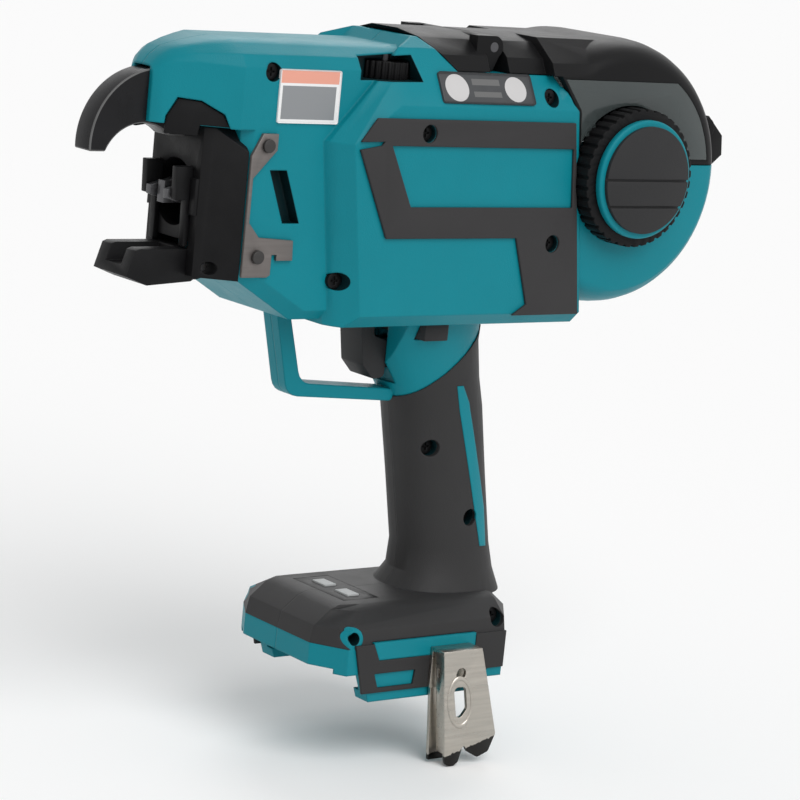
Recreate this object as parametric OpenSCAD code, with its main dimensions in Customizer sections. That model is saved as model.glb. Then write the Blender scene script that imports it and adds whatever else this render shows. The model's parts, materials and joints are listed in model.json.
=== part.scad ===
// Twin-wire rebar tying tool, shown bare: a clamshell body on a raked grip over a battery foot,
// with a hooked wire guide and a twister at the nose and a drum for the wire reel at the rear.
// Origin on the battery seat at mid-width, nose towards -X, up +Z, the left side at -Y.

/* [Foot] */
// Width of the foot across its skirts
foot_w = 75; // [73:0.5:78]
// Front edge of the foot ahead of the origin
foot_fore = 52; // [50:0.5:55]
// Rear face of the foot behind the origin
foot_aft = 52; // [51:0.5:54]
// Height of the foot above the battery seat
foot_h = 23.5; // [22.5:0.5:26]
// Depth of the skirts below the battery seat
skirt_h = 14; // [13:0.5:16]
// Clear width between the battery rails
rail_gap = 58; // [55:0.5:60]

/* [Grip] */
// Width of the grip across the palm
grip_w = 34; // [33:0.5:36]
// Depth of the grip from front to back
grip_d = 44; // [43:0.5:46]
// Rearward shift of the grip from its neck to the foot
grip_rake = 24; // [22:0.5:26]
// Thickness of the soft overmould
skin = 2; // [1.5:0.1:2.4]

/* [Body] */
// Height of the body's underside above the battery seat
floor_z = 140; // [138:1:143]
// Width of the body
body_w = 76; // [75:0.5:79]
// Height of the flat side faces
side_h = 88; // [87.5:0.5:89]
// Rise of the crown above the side faces
crest_h = 25.5; // [25:0.5:27]
// Front tip of the side faces ahead of the origin
body_fore = 64; // [62:0.5:66]
// Width of the head behind the nose
head_w = 56; // [54:0.5:58]
// Front face of the head ahead of the origin
head_fore = 108; // [106:0.5:109]
// Width of the hood over the wire guide
hood_w = 22; // [21:0.5:24]
// Front face of the hood ahead of the origin
hood_fore = 139; // [138:0.5:140]

/* [Reel drum] */
// Reel axis behind the origin
reel_x = 77.5; // [76:0.5:79]
// Reel axis above the body's underside
reel_up = 61.7; // [61:0.1:63]
// Outer radius of the drum
drum_r = 55.5; // [55:0.5:56.5]
// Inset of the drum's side faces from the body's
drum_in = 1.5; // [1:0.1:2]
// Radius of the drum's flat side faces
drum_face_r = 46; // [44:0.5:47]
// Wall of the drum and of its cover
drum_wall = 3; // [2.6:0.1:3.2]
// Diameter of the reel stopper's turning ring
knob_d = 49; // [47:0.5:51]
// Pull of the reel stopper
stopper_pull = 10; // [8:0.5:11]

/* [Nose] */
// Radius of the wire guide's outer curve
curl_r = 29.7; // [29:0.1:30.4]
// Radius of the wire guide's inner curve
curl_inner_r = 17.4; // [16.8:0.1:18]
// Width of the wire guide
curl_w = 11; // [10:0.5:12]
// Height of the mouth between the wire guide's tip and the jaw
mouth_h = 36; // [34:0.5:37]
// Width of the lower jaw
jaw_w = 24; // [22:0.5:26]
// Thickness of the steel plates
plate_t = 3; // [2.6:0.1:3.4]

/* [Drive] */
// Twister axis above the body's underside
twist_up = 48.5; // [48:0.1:49.5]
// Diameter of the twisting motor
motor_d = 40; // [38:0.5:41]
// Diameter of the twister sleeve
sleeve_d = 24; // [22:0.5:25]
// Gear module of the planet stage
gear_m = 0.9; // [0.85:0.01:0.93]
// Radius of the wire feed rollers
roller_r = 6.5; // [6:0.1:6.8]
// Diameter of the wire feeding motor
feed_motor_d = 24; // [22:0.5:25]

/* [Controls] */
// Width of the trigger
trigger_w = 15; // [14:0.5:17]
// Travel of the trigger
trigger_travel = 6; // [5:0.5:6.5]
// Diameter of the tying force dial
dial_d = 20; // [19:0.5:21]
// Width of the belt hook
hook_w = 20; // [18:0.5:22]

/* [Hidden] */
$fn = 48;

// Overrun of cuts, clearance of moving pieces, radial clearance of running fits
over = 2;
gap = 0.4;
fit = 0.05;

// Half widths and levels that many pieces share
body_y = body_w / 2;
head_y = head_w / 2;
hood_y = hood_w / 2;
foot_y = foot_w / 2;
drum_y = body_y - drum_in;
side_top = floor_z + side_h;
body_top = side_top + crest_h;
reel_z = floor_z + reel_up;
twist_z = floor_z + twist_up;
crown = 13.5;
tongue_z = side_top + crown;

// Places in the side view, and an outline of shares set into a box
function at(x, z) = [x, z];
function within(x, z, dx, dz, shares) = [for (s = shares) at(x + dx * s[0], z + dz * s[1])];

// Outline with its corners rounded to radius r, each arc in a few chords
corner_share = 0.46;
corner_steps = 4;
function corner(p, a, b, r) = let (
    ua = (a - p) / norm(a - p),
    ub = (b - p) / norm(b - p),
    half = acos(ua * ub) / 2,
    cut = min(r / tan(half), norm(a - p) * corner_share, norm(b - p) * corner_share),
    rad = cut * tan(half),
    mid = p + (ua + ub) / norm(ua + ub) * rad / sin(half),
    s = p + ua * cut - mid,
    e = p + ub * cut - mid,
    from = atan2(s[1], s[0]),
    turn = (atan2(e[1], e[0]) - from + 540) % 360 - 180
) [
    for (k = [0:corner_steps]) let (a = from + turn * k / corner_steps)
        mid + rad * [cos(a), sin(a)]
];
function rounded(pts, r) = let (n = len(pts)) [
    for (i = [0:n - 1])
        each corner(pts[i], pts[(i + n - 1) % n], pts[(i + 1) % n], r)
];

// Skin through rings of equal count, closed at both ends
module skin_through(rings) {
    n = len(rings[0]);
    m = len(rings);
    walls = [
        for (i = [0:m - 2]) for (j = [0:n - 1]) let (k = (j + 1) % n)
            each [
                [i * n + j, i * n + k, i * n + n + k],
                [i * n + j, i * n + n + k, i * n + n + j]
            ]
    ];
    first = [for (j = [n - 1:-1:0]) j];
    last = [for (j = [0:n - 1]) (m - 1) * n + j];
    polyhedron([for (r = rings) each r], concat(walls, [first, last]));
}

// Side view shape swept across the tool, front view shape swept along it
module across(y0, y1) {
    translate([0, y1, 0])
        rotate([90, 0, 0])
            linear_extrude(y1 - y0)
                children();
}
module along(x0, x1) {
    translate([x0, 0, 0])
        rotate([90, 0, 90])
            linear_extrude(x1 - x0)
                children();
}
module rod_y(x, z, r, y0, y1) {
    translate([x, y1, z])
        rotate([90, 0, 0])
            cylinder(r = r, h = y1 - y0);
}
module rod_x(y, z, r, x0, x1) {
    translate([x0, y, z])
        rotate([0, 90, 0])
            cylinder(r = r, h = x1 - x0);
}
module box(x0, x1, y0, y1, z0, z1) {
    translate([x0, y0, z0])
        cube([x1 - x0, y1 - y0, z1 - z0]);
}
module left() {
    mirror([0, 1, 0])
        children();
}
module both() {
    children();
    left()
        children();
}
module far_side() {
    box(-2 * hood_fore, 2 * hood_fore, -2 * body_w, 0, -floor_z, 3 * floor_z);
}

// Body: side outline at distance y from mid-width, with a bevel down to the narrower head
bevel = 9;
floor_round = 5;
crown_y_share = 0.5;
shoulder_y_share = 0.68;
facet_y_share = 0.8;
shoulder_drop = 4;
tip_up = 72.5;
foot_back = 10;
brow_back = 21;
crown_back = 36;
rear_top_x = 48;
rear_low_x = 59;
tail_lean = 10;
facet_y = body_y * facet_y_share;
function body_levels() = [-over, body_y * crown_y_share, body_y * shoulder_y_share, facet_y,
    body_y - floor_round, body_y];
function body_crest(y) = lookup(y, [
    [body_y * crown_y_share, body_top],
    [body_y * shoulder_y_share, body_top - shoulder_drop],
    [facet_y, tongue_z],
    [body_y, side_top]
]);
function body_keel(y) = lookup(y, [[body_y - floor_round, floor_z], [body_y, floor_z + floor_round]]);
function body_bevel(y) = lookup(y, [[head_y, bevel], [body_y, 0]]);
function body_brow(y) = lookup(y, [
    [body_y * crown_y_share, crown_back - body_fore],
    [facet_y, 2 * bevel - body_fore],
    [body_y, brow_back - body_fore]
]);
function body_tail(y) = lookup(y, [[facet_y, rear_top_x - tail_lean], [body_y, rear_top_x]]);
function body_outline(y) = [
    at(foot_back - body_fore - body_bevel(y), body_keel(y)),
    at(rear_low_x, body_keel(y)),
    at(body_tail(y), body_crest(y)),
    at(body_brow(y), body_crest(y)),
    at(-body_fore - body_bevel(y), floor_z + tip_up)
];
module body_half() {
    skin_through([for (y = body_levels()) [for (p = body_outline(y)) [p[0], y, p[1]]]]);
}

// Head: the narrower block behind the nose, its underside rising to the front
head_round = 4;
head_top = body_top - shoulder_drop;
head_lift = 20;
head_toe = 78;
head_drop = 2;
head_back = brow_back - body_fore;
hood_step = 3.5;
hood_floor = floor_z + tip_up + hood_step;
function head_outline(c) = [
    at(c - head_fore, floor_z + head_lift + c),
    at(c - head_toe, floor_z + head_drop + c),
    at(head_back, floor_z + head_drop + c),
    at(head_back, hood_floor + over),
    at(c - head_fore, hood_floor + over)
];
module head_half() {
    skin_through([
        for (s = [[-2 * over, 0], [head_y - head_round, 0], [head_y, head_round]])
            [for (p = head_outline(s[1])) [p[0], s[0], p[1]]]
    ]);
}

// Hood: rings along the tool as shares of its reach, of the flare and of the roof's fall
hood_reach = hood_fore - head_fore;
hood_fall = 11;
hood_bevel_share = 0.33;
hood_bevel_shares = [[0, 1], [0.33, 0.5], [1, 0.13], [1.3, 0]];
hood_shares = [
    [-2.6, 1, 0], [0.1, 1, 0.05], [0.3, 0.76, 0.15], [0.55, 0.43, 0.3], [0.78, 0.14, 0.5], [0.92, -0.02, 0.8],
    [1, -0.2, 1.1]
];
function hood_ring(row) = let (
    x = -head_fore - hood_reach * row[0],
    half = hood_y + (head_y - hood_y) * row[1],
    roof = head_top - hood_fall * row[2],
    c = half * hood_bevel_share
) [
    [x, -3 * over, hood_floor],
    [x, half, hood_floor],
    for (b = hood_bevel_shares) [x, half - c * b[0], roof - c * b[1]],
    [x, -3 * over, roof]
];
module hood_half() {
    skin_through([for (row = hood_shares) hood_ring(row)]);
}

// Drum: a barrel about the reel axis with rounded shoulders
drum_crown = 18;
drum_steps = 6;
function barrel(grow) = let (r0 = drum_face_r + grow, r1 = drum_r + grow, y1 = drum_y + grow) [
    [0, -4 * over],
    [r1, -4 * over],
    for (k = [0:drum_steps]) let (a = 90 * k / drum_steps)
        [r0 + (r1 - r0) * cos(a), drum_crown + (y1 - drum_crown) * sin(a)],
    [0, y1]
];
module barrel_half(grow) {
    translate([reel_x, 0, reel_z])
        rotate([-90, 0, 0])
            rotate_extrude()
                polygon(barrel(grow));
}

// Parting of the reel cover from the housing, in the side view
part_up = 5;
part_z = reel_z + part_up;
cover_fore = 11;
cover_slope = 20;
cover_sky = body_top + 3 * over;
cover_far = reel_x + 2 * drum_r;
function cover_zone(c) = [
    at(c - cover_fore - cover_slope, cover_sky),
    at(c - cover_fore, tongue_z + c),
    at(rear_top_x - tail_lean + c, tongue_z + c),
    at(rear_top_x + c, side_top + c),
    at(rear_top_x + tail_lean / 4 + c, part_z + c),
    at(cover_far, part_z + c),
    at(cover_far, cover_sky)
];

// Grip: sections down the handle as shares of the drop, of its depth, of its width and of its lean
grip_top = floor_z + floor_round;
grip_foot_x = 32;
grip_sides = 36;
grip_square = 0.86;
grip_shares = [
    [0, 0.5, 0.59, -0.23],
    [0.13, 0.27, 0.26, -0.16],
    [0.26, 0.11, 0.07, -0.07],
    [0.36, 0.02, 0, 0],
    [0.6, 0, 0, 0],
    [0.84, 0, 0, 0],
    [0.93, 0.07, 0.09, -0.02],
    [1, 0.27, 0.35, -0.09]
];
grip_drop = grip_top - foot_h + skin;
function squared(v) = sign(v) * pow(abs(v), grip_square);
function grip_x(row) = grip_foot_x - grip_rake * (1 - row[0]) + grip_d * row[3];
function grip_ring(row, inset) = let (
    a = grip_d * (1 + row[1]) / 2 - inset,
    b = grip_w * (1 + row[2]) / 2 - inset
) [
    for (k = [0:grip_sides - 1]) let (t = 360 * k / grip_sides)
        [grip_x(row) + a * squared(cos(t)), b * squared(sin(t)), grip_top - grip_drop * row[0]]
];
module grip_whole(inset) {
    skin_through([for (row = grip_shares) grip_ring(row, inset)]);
}

// Soft part of the grip, bounded above by a line that falls towards the trigger
grip_line_shares = [
    [-0.62, -0.32], [-0.39, -0.345], [-0.2, -0.33], [-0.04, -0.29], [0.18, -0.23], [0.55, -0.11],
    [0.9, 0.02], [1.8, 0.02], [1.8, -1.05], [-0.62, -1.05]
];
module grip_zone() {
    polygon(within(0, grip_top, grip_d, grip_drop, grip_line_shares));
}

// Foot: plan outline with its corners cut, drawn for one half
rim_h = 9;
foot_nose_y = 23;
foot_nose_run = 9;
foot_tail_y = 20;
foot_tail_run = 14;
foot_top_in = 9;
foot_shoulder = 7;
rim_drop = 2;
skirt_fore = 30;
skirt_lean = 5;
skirt_aft = 20;
skirt_run = 10;
skirt_rise = 5;
function foot_plan(c, z) = [
    [c - foot_fore, -over, z],
    [c - foot_fore, foot_nose_y, z],
    [c - foot_fore + foot_nose_run, foot_y - c, z],
    [foot_aft - foot_tail_run, foot_y - c, z],
    [foot_aft - c, foot_tail_y, z],
    [foot_aft - c, -over, z]
];
module foot_top_half(inset) {
    skin_through([
        foot_plan(inset, rim_h - over),
        foot_plan(inset, rim_h),
        foot_plan(inset + foot_top_in / 6, rim_h + foot_shoulder),
        foot_plan(inset + foot_top_in, foot_h - inset - foot_top_in / 6),
        foot_plan(inset + foot_top_in * 3 / 2, foot_h - inset)
    ]);
}
module foot_base_half() {
    difference() {
        skin_through([foot_plan(0, -skirt_h), foot_plan(0, rim_h)]);
        across(-2 * over, foot_w)
            polygon([
                at(-foot_fore - over, -rim_drop),
                at(-skirt_fore - skirt_lean, -rim_drop),
                at(-skirt_fore, -skirt_h - over),
                at(-foot_fore - over, -skirt_h - over)
            ]);
        across(-2 * over, foot_w)
            polygon([
                at(skirt_aft, -skirt_h - over),
                at(skirt_aft + skirt_run, skirt_rise - skirt_h),
                at(foot_aft + over, skirt_rise - skirt_h),
                at(foot_aft + over, -skirt_h - over)
            ]);
    }
}

// Raised bar along the foot's side, standing through the overmould
strip_fore = 31;
strip_aft = 22;
strip_z = 3.5;
strip_h = 7.5;
strip_proud = 0.8;
module foot_strip(c) {
    across(foot_y - skin, foot_y + strip_proud + 2 * c)
        polygon([
            at(-strip_fore - c, strip_z + strip_h + c),
            at(strip_aft + c, strip_z + strip_h + c),
            at(strip_aft + c, strip_z - c),
            at(strip_z - strip_fore - c, strip_z - c)
        ]);
}

// Battery recess: seat, rail ribs along both skirts and a closed rear end
rail_h = 4;
rail_ledge = 3.5;
recess_wall = 8;
recess_aft = foot_aft - recess_wall;
recess_y = rail_gap / 2 + rail_ledge;
module recess() {
    box(-foot_fore - over, recess_aft, -rail_gap / 2, rail_gap / 2, -skirt_h - over, 0);
    box(-foot_fore - over, recess_aft, -recess_y, recess_y, rail_h - skirt_h, 0);
}

// Trigger guard: a thin post below the head and a bar back to the grip
guard_w = 10;
guard_bar = 5;
guard_drop = 33;
guard_fore = 73;
guard_post = 6;
guard_rise = 4;
guard_lean = 11.5;
guard_round = 7;
guard_reach = 8;
guard_outline = [
    at(-guard_fore, floor_z + 2 * guard_round),
    at(guard_lean - guard_fore, floor_z - guard_drop),
    at(-guard_reach, floor_z - guard_drop - guard_rise),
    at(-guard_reach, floor_z - guard_drop - guard_rise + guard_bar),
    at(guard_lean + guard_post - guard_fore, floor_z - guard_drop + guard_bar),
    at(guard_post - guard_fore, floor_z + 2 * guard_round)
];
module guard_half() {
    across(-over, guard_w / 2)
        polygon(rounded(guard_outline, guard_round));
}

// Housing screws on the left side as [place, depth of the seat], heads sunk in blind holes
screw_head_r = 3.2;
screw_head_t = 2;
screw_r = 1.7;
screw_bite = 10;
screw_sink = 4;
screw_rise = 9;
boss_r = 4;
body_len = body_fore + rear_low_x;
head_len = head_fore - body_fore;
grip_screw_shares = [[0.16, -0.49], [0.68, -0.735]];
foot_screw_shares = [[0.66, 0.66]];
head_screw_share = [0.227, 0.897];
bevel_screw_share = [1.048, 0.166];
body_screw_share = 0.285;
facet_screw_share = [0.799, 1.052];
drum_screw_share = [0.842, 0.383];
head_screws = within(-head_fore, floor_z, head_len, head_top - floor_z,
    [head_screw_share, bevel_screw_share]);
body_screws = concat(
    [at(body_len * body_screw_share - body_fore, twist_z + motor_d / 2 + screw_rise)],
    within(-body_fore, floor_z, body_len, side_h, [facet_screw_share])
);
drum_screw = within(-body_fore, floor_z, body_len, side_h, [drum_screw_share])[0];
grip_screws = within(0, grip_top, grip_d, grip_drop, grip_screw_shares);
foot_screws = within(0, 0, foot_aft, foot_h, foot_screw_shares);
function body_side(z) = lookup(z, [[side_top, body_y], [tongue_z, facet_y]]);
screw_seats = [
    [head_screws[0], head_y - screw_sink],
    [head_screws[1], head_y],
    for (p = concat(body_screws, [drum_screw])) [p, body_side(p[1]) - screw_sink],
    for (p = grip_screws) [p, grip_w / 2 - 2 * screw_sink],
    for (p = foot_screws) [p, foot_y - 2 * screw_sink]
];
module screw_holes() {
    left()
        for (s = screw_seats) {
            rod_y(s[0][0], s[0][1], screw_head_r + gap, s[1], body_w);
            rod_y(s[0][0], s[0][1], screw_r + fit, -screw_bite, body_w);
        }
}

// Pockets inside the housing that seat the drive
gear_case_fore = 58;
gear_case_len = 32;
motor_len = 30;
motor_fore = gear_case_fore - gear_case_len;
case_r = motor_d / 2 + over / 2;
bearing_w = 5;
sleeve_fore = 100;
sleeve_len = 38;
sleeve_play = 1;
bush_fore = 80;
bush_len = 9;
bush_wall = 4;
bush_r = sleeve_d / 2 + bush_wall;
mouth_pocket = 8;
mouth_drop = 16;
module drive_pockets() {
    rod_x(0, twist_z, case_r, -gear_case_fore, -motor_fore);
    rod_x(0, twist_z, motor_d / 2, -motor_fore - over, motor_len + bearing_w - motor_fore);
    rod_x(0, twist_z, sleeve_d / 2 + sleeve_play, -hood_fore, over - gear_case_fore);
    rod_x(0, twist_z, bush_r, -bush_fore, bush_len - bush_fore);
    box(-hood_fore, mouth_pocket - head_fore, -sleeve_d / 2, sleeve_d / 2,
        twist_z - mouth_drop, hood_floor - over);
}

// Wire feed unit above the gear case: two rollers, a spur pair and a motor on the right
feed_x = -48;
feed_up = 37.5;
feed_low_z = twist_z + feed_up;
wire_z = feed_low_z + roller_r;
feed_high_z = wire_z + roller_r;
feed_span = 19;
feed_sag = 1.5;
feed_motor_x = feed_x - feed_span;
feed_motor_z = feed_low_z - feed_sag;
feed_roller_w = 9;
feed_play = 1;
spur_w = 3;
spur_y = feed_roller_w / 2 + feed_play;
feed_pin_r = 2;
feed_pin_left = 8;
feed_pin_right = 12;
feed_motor_y = spur_y + spur_w + gap;
feed_motor_len = 14;
feed_motor_back = 3;
pinion_teeth = 12;
spur_teeth = 36;
spur_m = 2 * norm([feed_span, feed_sag]) / (pinion_teeth + spur_teeth);
spur_r = spur_m * spur_teeth / 2;
pinion_r = spur_m * pinion_teeth / 2;
wire_duct_w = 8;
wire_duct_h = 5;
duct_bore_share = 0.5;
module feed_pockets() {
    rod_y(feed_x, feed_low_z, roller_r + feed_play, -spur_y, spur_y);
    rod_y(feed_x, feed_high_z, roller_r + feed_play, -spur_y, spur_y);
    rod_y(feed_x, feed_low_z, spur_r + over, spur_y - gap, feed_motor_y);
    rod_y(feed_motor_x, feed_motor_z, pinion_r + over, spur_y - gap, feed_motor_y);
    rod_y(feed_motor_x, feed_motor_z, feed_motor_d / 2, feed_motor_y - fit, feed_motor_y + feed_motor_len);
    rod_y(feed_x, feed_low_z, feed_pin_r + fit, -feed_pin_left - gap, feed_pin_right + gap);
    rod_y(feed_x, feed_high_z, feed_pin_r + fit, -feed_pin_left - gap, 0);
    box(-head_fore - over, feed_x, -wire_duct_w / 2, wire_duct_w / 2,
        wire_z - wire_duct_h / 2, wire_z + wire_duct_h / 2);
    box(feed_x, reel_x, -wire_duct_w / 4, wire_duct_w / 4, wire_z - wire_duct_w / 4, wire_z + wire_duct_w / 4);
}

// Trigger and its switch behind the guard
trigger_fore = 29.5;
trigger_z = 113;
trigger_room = 3;
trigger_top = floor_z - trigger_room;
trigger_depth = 14;
stem_z0 = 117;
stem_z1 = 129;
stem_aft = 2;
switch_x = trigger_travel - stem_aft + gap;
switch_len = 22;
switch_w = 20;
switch_z0 = 108;
switch_z1 = 130;
module trigger_pockets() {
    box(-trigger_fore - over, trigger_depth + trigger_travel + gap - trigger_fore,
        -trigger_w / 2 - gap, trigger_w / 2 + gap, trigger_z - over, trigger_top + gap);
    box(-trigger_fore, switch_x + over, -trigger_w / 4 - gap, trigger_w / 4 + gap, stem_z0 - gap, stem_z1 + gap);
    box(switch_x, switch_x + switch_len, -switch_w / 2, switch_w / 2, switch_z0, switch_z1);
}

// Cross-bolt lock button above the trigger
lock_x = -5;
lock_drop = 4.6;
lock_z = floor_z - lock_drop;
lock_len = 12;
lock_h = 7;
lock_half = 26;
module lock_bar(c) {
    box(lock_x - lock_len / 2 - c, lock_x + lock_len / 2 + c, -lock_half, lock_half,
        lock_z - lock_h / 2 - c, lock_z + lock_h / 2 + c);
}

// Dial pocket and window in the facet above the head
dial_x = -38;
dial_y = 17;
dial_up = 100;
dial_z = floor_z + dial_up;
dial_h = 7;
dial_pin_r = 2;
dial_pin_len = 13;
dial_bay_y = 18;
dial_bay_fore = 19;
dial_bay_drop = 3.6;
dial_bay_w = 27;
dial_bay_h = 11;
dial_bay_shares = [[0, 0], [0, 0.8], [0.88, 0.95], [1, 0.05]];
module dial_pocket() {
    translate([dial_x, dial_y, dial_z]) {
        cylinder(r = dial_d / 2 + gap, h = dial_h + 2 * gap, center = true);
        cylinder(r = dial_pin_r, h = dial_pin_len, center = true);
    }
    across(dial_bay_y, body_y + over)
        polygon(within(dial_x - dial_bay_fore, dial_z - dial_bay_drop, dial_bay_w, dial_bay_h, dial_bay_shares));
}

// Vent: a leaning slot in the head's side
vent_w = 5;
vent_h = 20;
vent_lean = 8;
vent_depth = 6;
vent_back = 19.5;
vent_up = 2;
module vent_slot() {
    x = vent_back - head_fore;
    z = twist_z + vent_up;
    across(head_y - vent_depth, head_y + over)
        polygon([
            at(x - vent_w / 2 - vent_lean / 2, z + vent_h / 2),
            at(x + vent_w / 2 - vent_lean / 2, z + vent_h / 2),
            at(x + vent_w / 2 + vent_lean / 2, z - vent_h / 2),
            at(x - vent_w / 2 + vent_lean / 2, z - vent_h / 2)
        ]);
}

// Flank of the hood, a frame with its x axis along the flare, and the arch that shows the guard plate
flank_from_share = 0.1;
flank_to_share = 0.92;
flank_x = -head_fore - hood_reach * flank_from_share;
flank_run = hood_reach * (flank_to_share - flank_from_share);
flank_len = norm([flank_run, head_y - hood_y]);
arch_h = 11;
arch_deep = 3;
arch_shares = [[0.95, -0.3], [0.93, 0.27], [0.8, 0.93], [0.5, 0.88], [0.2, 0.48], [0.07, -0.3]];
module on_flank() {
    translate([flank_x, head_y, 0])
        rotate(atan2(head_y - hood_y, flank_run))
            children();
}
module hood_arch() {
    on_flank()
        across(-arch_deep, 2 * over)
            polygon(within(0, hood_floor, -flank_len, arch_h, arch_shares));
}

// Wire guide's circles, hung from the mouth
jaw_up = 28;
jaw_top = floor_z + jaw_up;
tip_z = jaw_top + mouth_h;
curl_x = -133;
curl_up = 2.5;
curl_inner_back = 6.5;
curl_inner_drop = 9;
module curl_slot() {
    box(-hood_fore - over, -head_fore, -curl_w / 2, curl_w / 2,
        hood_floor - over, tip_z + curl_up + curl_r + gap);
}

// Control board and terminals in the foot
board_t = 1.6;
board_z = 9;
board_l = 64;
board_w = 52;
board_room = 3;
block_l = 32;
block_w = 34;
block_h = 9;
block_x = 8;
blade_t = 1;
blade_l = 12;
blade_h = 6;
blade_y = 11;
module foot_pockets() {
    box(-board_l / 2, board_l / 2, -board_w / 2, board_w / 2, board_z, board_z + board_t + board_room);
    box(block_x - block_l / 2, block_x + block_l / 2, -block_w / 2, block_w / 2, -over, board_z);
}

// Panel on the foot's top with two keys
panel_x = -24;
panel_l = 18;
panel_w = 36;
panel_t = 2.2;
key_l = 6;
key_w = 9;
key_y = 8;
key_travel = 0.8;
key_floor = foot_h - panel_t + key_travel;
key_proud = 0.6;
module panel_cut() {
    box(panel_x - panel_l / 2, panel_x + panel_l / 2, -panel_w / 2, panel_w / 2, foot_h - panel_t, foot_h + over);
}

// Lanyard eye through the foot's front corners
lanyard_x = -40;
lanyard_z = 13;
lanyard_r = 2.6;
lanyard_wall = 1.8;
module lanyard_bore(r) {
    rod_y(lanyard_x, lanyard_z, r, -foot_y, foot_y);
}

// Reel stopper and hub bores through the drum's side faces
knob_base_r = 28.5;
knob_base_t = 9;
spindle_r = 9;
hub_r = 9;
hub_seat = drum_wall / 2;
module housing_half() {
    difference() {
        union() {
            difference() {
                union() {
                    body_half();
                    head_half();
                    hood_half();
                    barrel_half(0);
                }
                barrel_half(-drum_wall);
            }
            rod_y(drum_screw[0], drum_screw[1], boss_r, -over, drum_y - drum_wall / 2);
            intersection() {
                grip_whole(skin / 4);
                difference() {
                    box(-2 * foot_fore, 2 * foot_aft, -body_w, body_w, foot_h - over, grip_top - over);
                    across(-2 * body_w, body_w)
                        grip_zone();
                }
            }
            grip_whole(skin);
            foot_top_half(skin);
            foot_base_half();
            foot_strip(0);
            intersection() {
                foot_top_half(0);
                rod_y(lanyard_x, lanyard_z, lanyard_r + lanyard_wall, 2 * over, foot_y);
            }
            guard_half();
        }
        across(-body_w, body_w)
            polygon(cover_zone(-gap));
        recess();
        drive_pockets();
        trigger_pockets();
        lock_bar(gap);
        foot_pockets();
        panel_cut();
        hood_arch();
        vent_slot();
        curl_slot();
        lanyard_bore(lanyard_r);
        plate_holes();
        far_side();
    }
}
module housing_left() {
    color("teal")
        difference() {
            left()
                housing_half();
            feed_pockets();
            left()
                dial_pocket();
            screw_holes();
            rod_y(reel_x, reel_z, spindle_r + fit, -body_y, over + drum_wall - drum_y);
            rod_y(reel_x, reel_z, knob_base_r + gap, -body_w, -drum_y);
            rod_y(hook_x, hook_screw_z, hook_screw_r, -foot_w, -recess_y + over);
        }
}
module housing_right() {
    color("teal")
        difference() {
            housing_half();
            feed_pockets();
            screw_holes();
            rod_y(reel_x, reel_z, hub_r, drum_y - 2 * drum_wall, drum_y - hub_seat);
            rod_y(hook_x, hook_screw_z, hook_screw_r, recess_y - over, foot_w);
        }
}

// Overmould on the grip and the foot, one piece each side
foot_pad_t = 1;
foot_pad_low = 4;
foot_pad_lap = 1.5;
patch_shares = [[0.06, 0.5], [0.09, 0.12], [0.33, 0.12], [0.34, 0.5]];
pad_skirt_z = foot_pad_low - skirt_h;
module foot_side_pad() {
    difference() {
        across(foot_y, foot_y + foot_pad_t)
            polygon([
                at(-skirt_fore - 2 * skirt_lean, rim_h + foot_pad_lap),
                at(-skirt_fore - skirt_lean, pad_skirt_z),
                at(skirt_aft, pad_skirt_z),
                at(skirt_aft + skirt_run, pad_skirt_z + skirt_rise),
                at(foot_aft - foot_tail_run, pad_skirt_z + skirt_rise),
                at(foot_aft - foot_tail_run, rim_h + foot_pad_lap)
            ]);
        across(foot_y - over, foot_w)
            polygon(within(-foot_fore + 2 * foot_nose_run, pad_skirt_z, foot_w, skirt_h + over, patch_shares));
    }
    box(-skirt_fore - 2 * skirt_lean, foot_aft - foot_tail_run, foot_y - foot_pad_t, foot_y + foot_pad_t / 2,
        rim_h, rim_h + foot_pad_lap);
}
module grip_cover_half() {
    difference() {
        union() {
            intersection() {
                grip_whole(0);
                across(-over, body_w)
                    grip_zone();
            }
            difference() {
                foot_top_half(0);
                box(-foot_w, 2 * foot_w, -over, foot_w, -skirt_h, rim_h);
            }
            foot_side_pad();
        }
        grip_whole(skin);
        foot_top_half(skin);
        panel_cut();
        foot_strip(gap / 4);
        guard_half();
        box(-foot_w, 2 * foot_w, -over, foot_w, floor_z, body_top);
        lanyard_bore(lanyard_r + lanyard_wall);
        far_side();
    }
}
module grip_left() {
    color("dimgray")
        difference() {
            left()
                grip_cover_half();
            screw_holes();
            rod_y(hook_x, hook_screw_z, hook_screw_r + fit, -body_w, -foot_y);
        }
}
module grip_right() {
    color("dimgray")
        difference() {
            grip_cover_half();
            rod_y(hook_x, hook_screw_z, hook_screw_r + fit, foot_y, body_w);
        }
}

// Soft pads on the body's sides: a frame round a bare panel, as shares of the side face
pad_t = 1.4;
pad_shares = [
    [0.01, 0.825], [0.075, 0.945], [0.89, 0.945], [0.985, 0.05], [0.7, 0.05], [0.757, 0.1],
    [0.685, 0.41], [0.15, 0.41]
];
pad_hole_shares = [[0.14, 0.824], [0.892, 0.824], [0.912, 0.551], [0.236, 0.551]];
pad_tick_shares = [[0, 0.8], [0.1, 0.824], [0.11, 0.842], [0, 0.838]];
module side_pad() {
    across(body_y, body_y + pad_t)
        difference() {
            polygon(within(-body_fore, floor_z, body_len, side_h, pad_shares));
            polygon(within(-body_fore, floor_z, body_len, side_h, pad_hole_shares));
            polygon(within(-body_fore, floor_z, body_len, side_h, pad_tick_shares));
        }
}
module side_pad_left() {
    color("dimgray")
        difference() {
            left()
                side_pad();
            screw_holes();
            rod_y(reel_x, reel_z, knob_base_r + gap, -body_w, -drum_y);
        }
}
module side_pad_right() {
    color("dimgray")
        side_pad();
}

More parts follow.
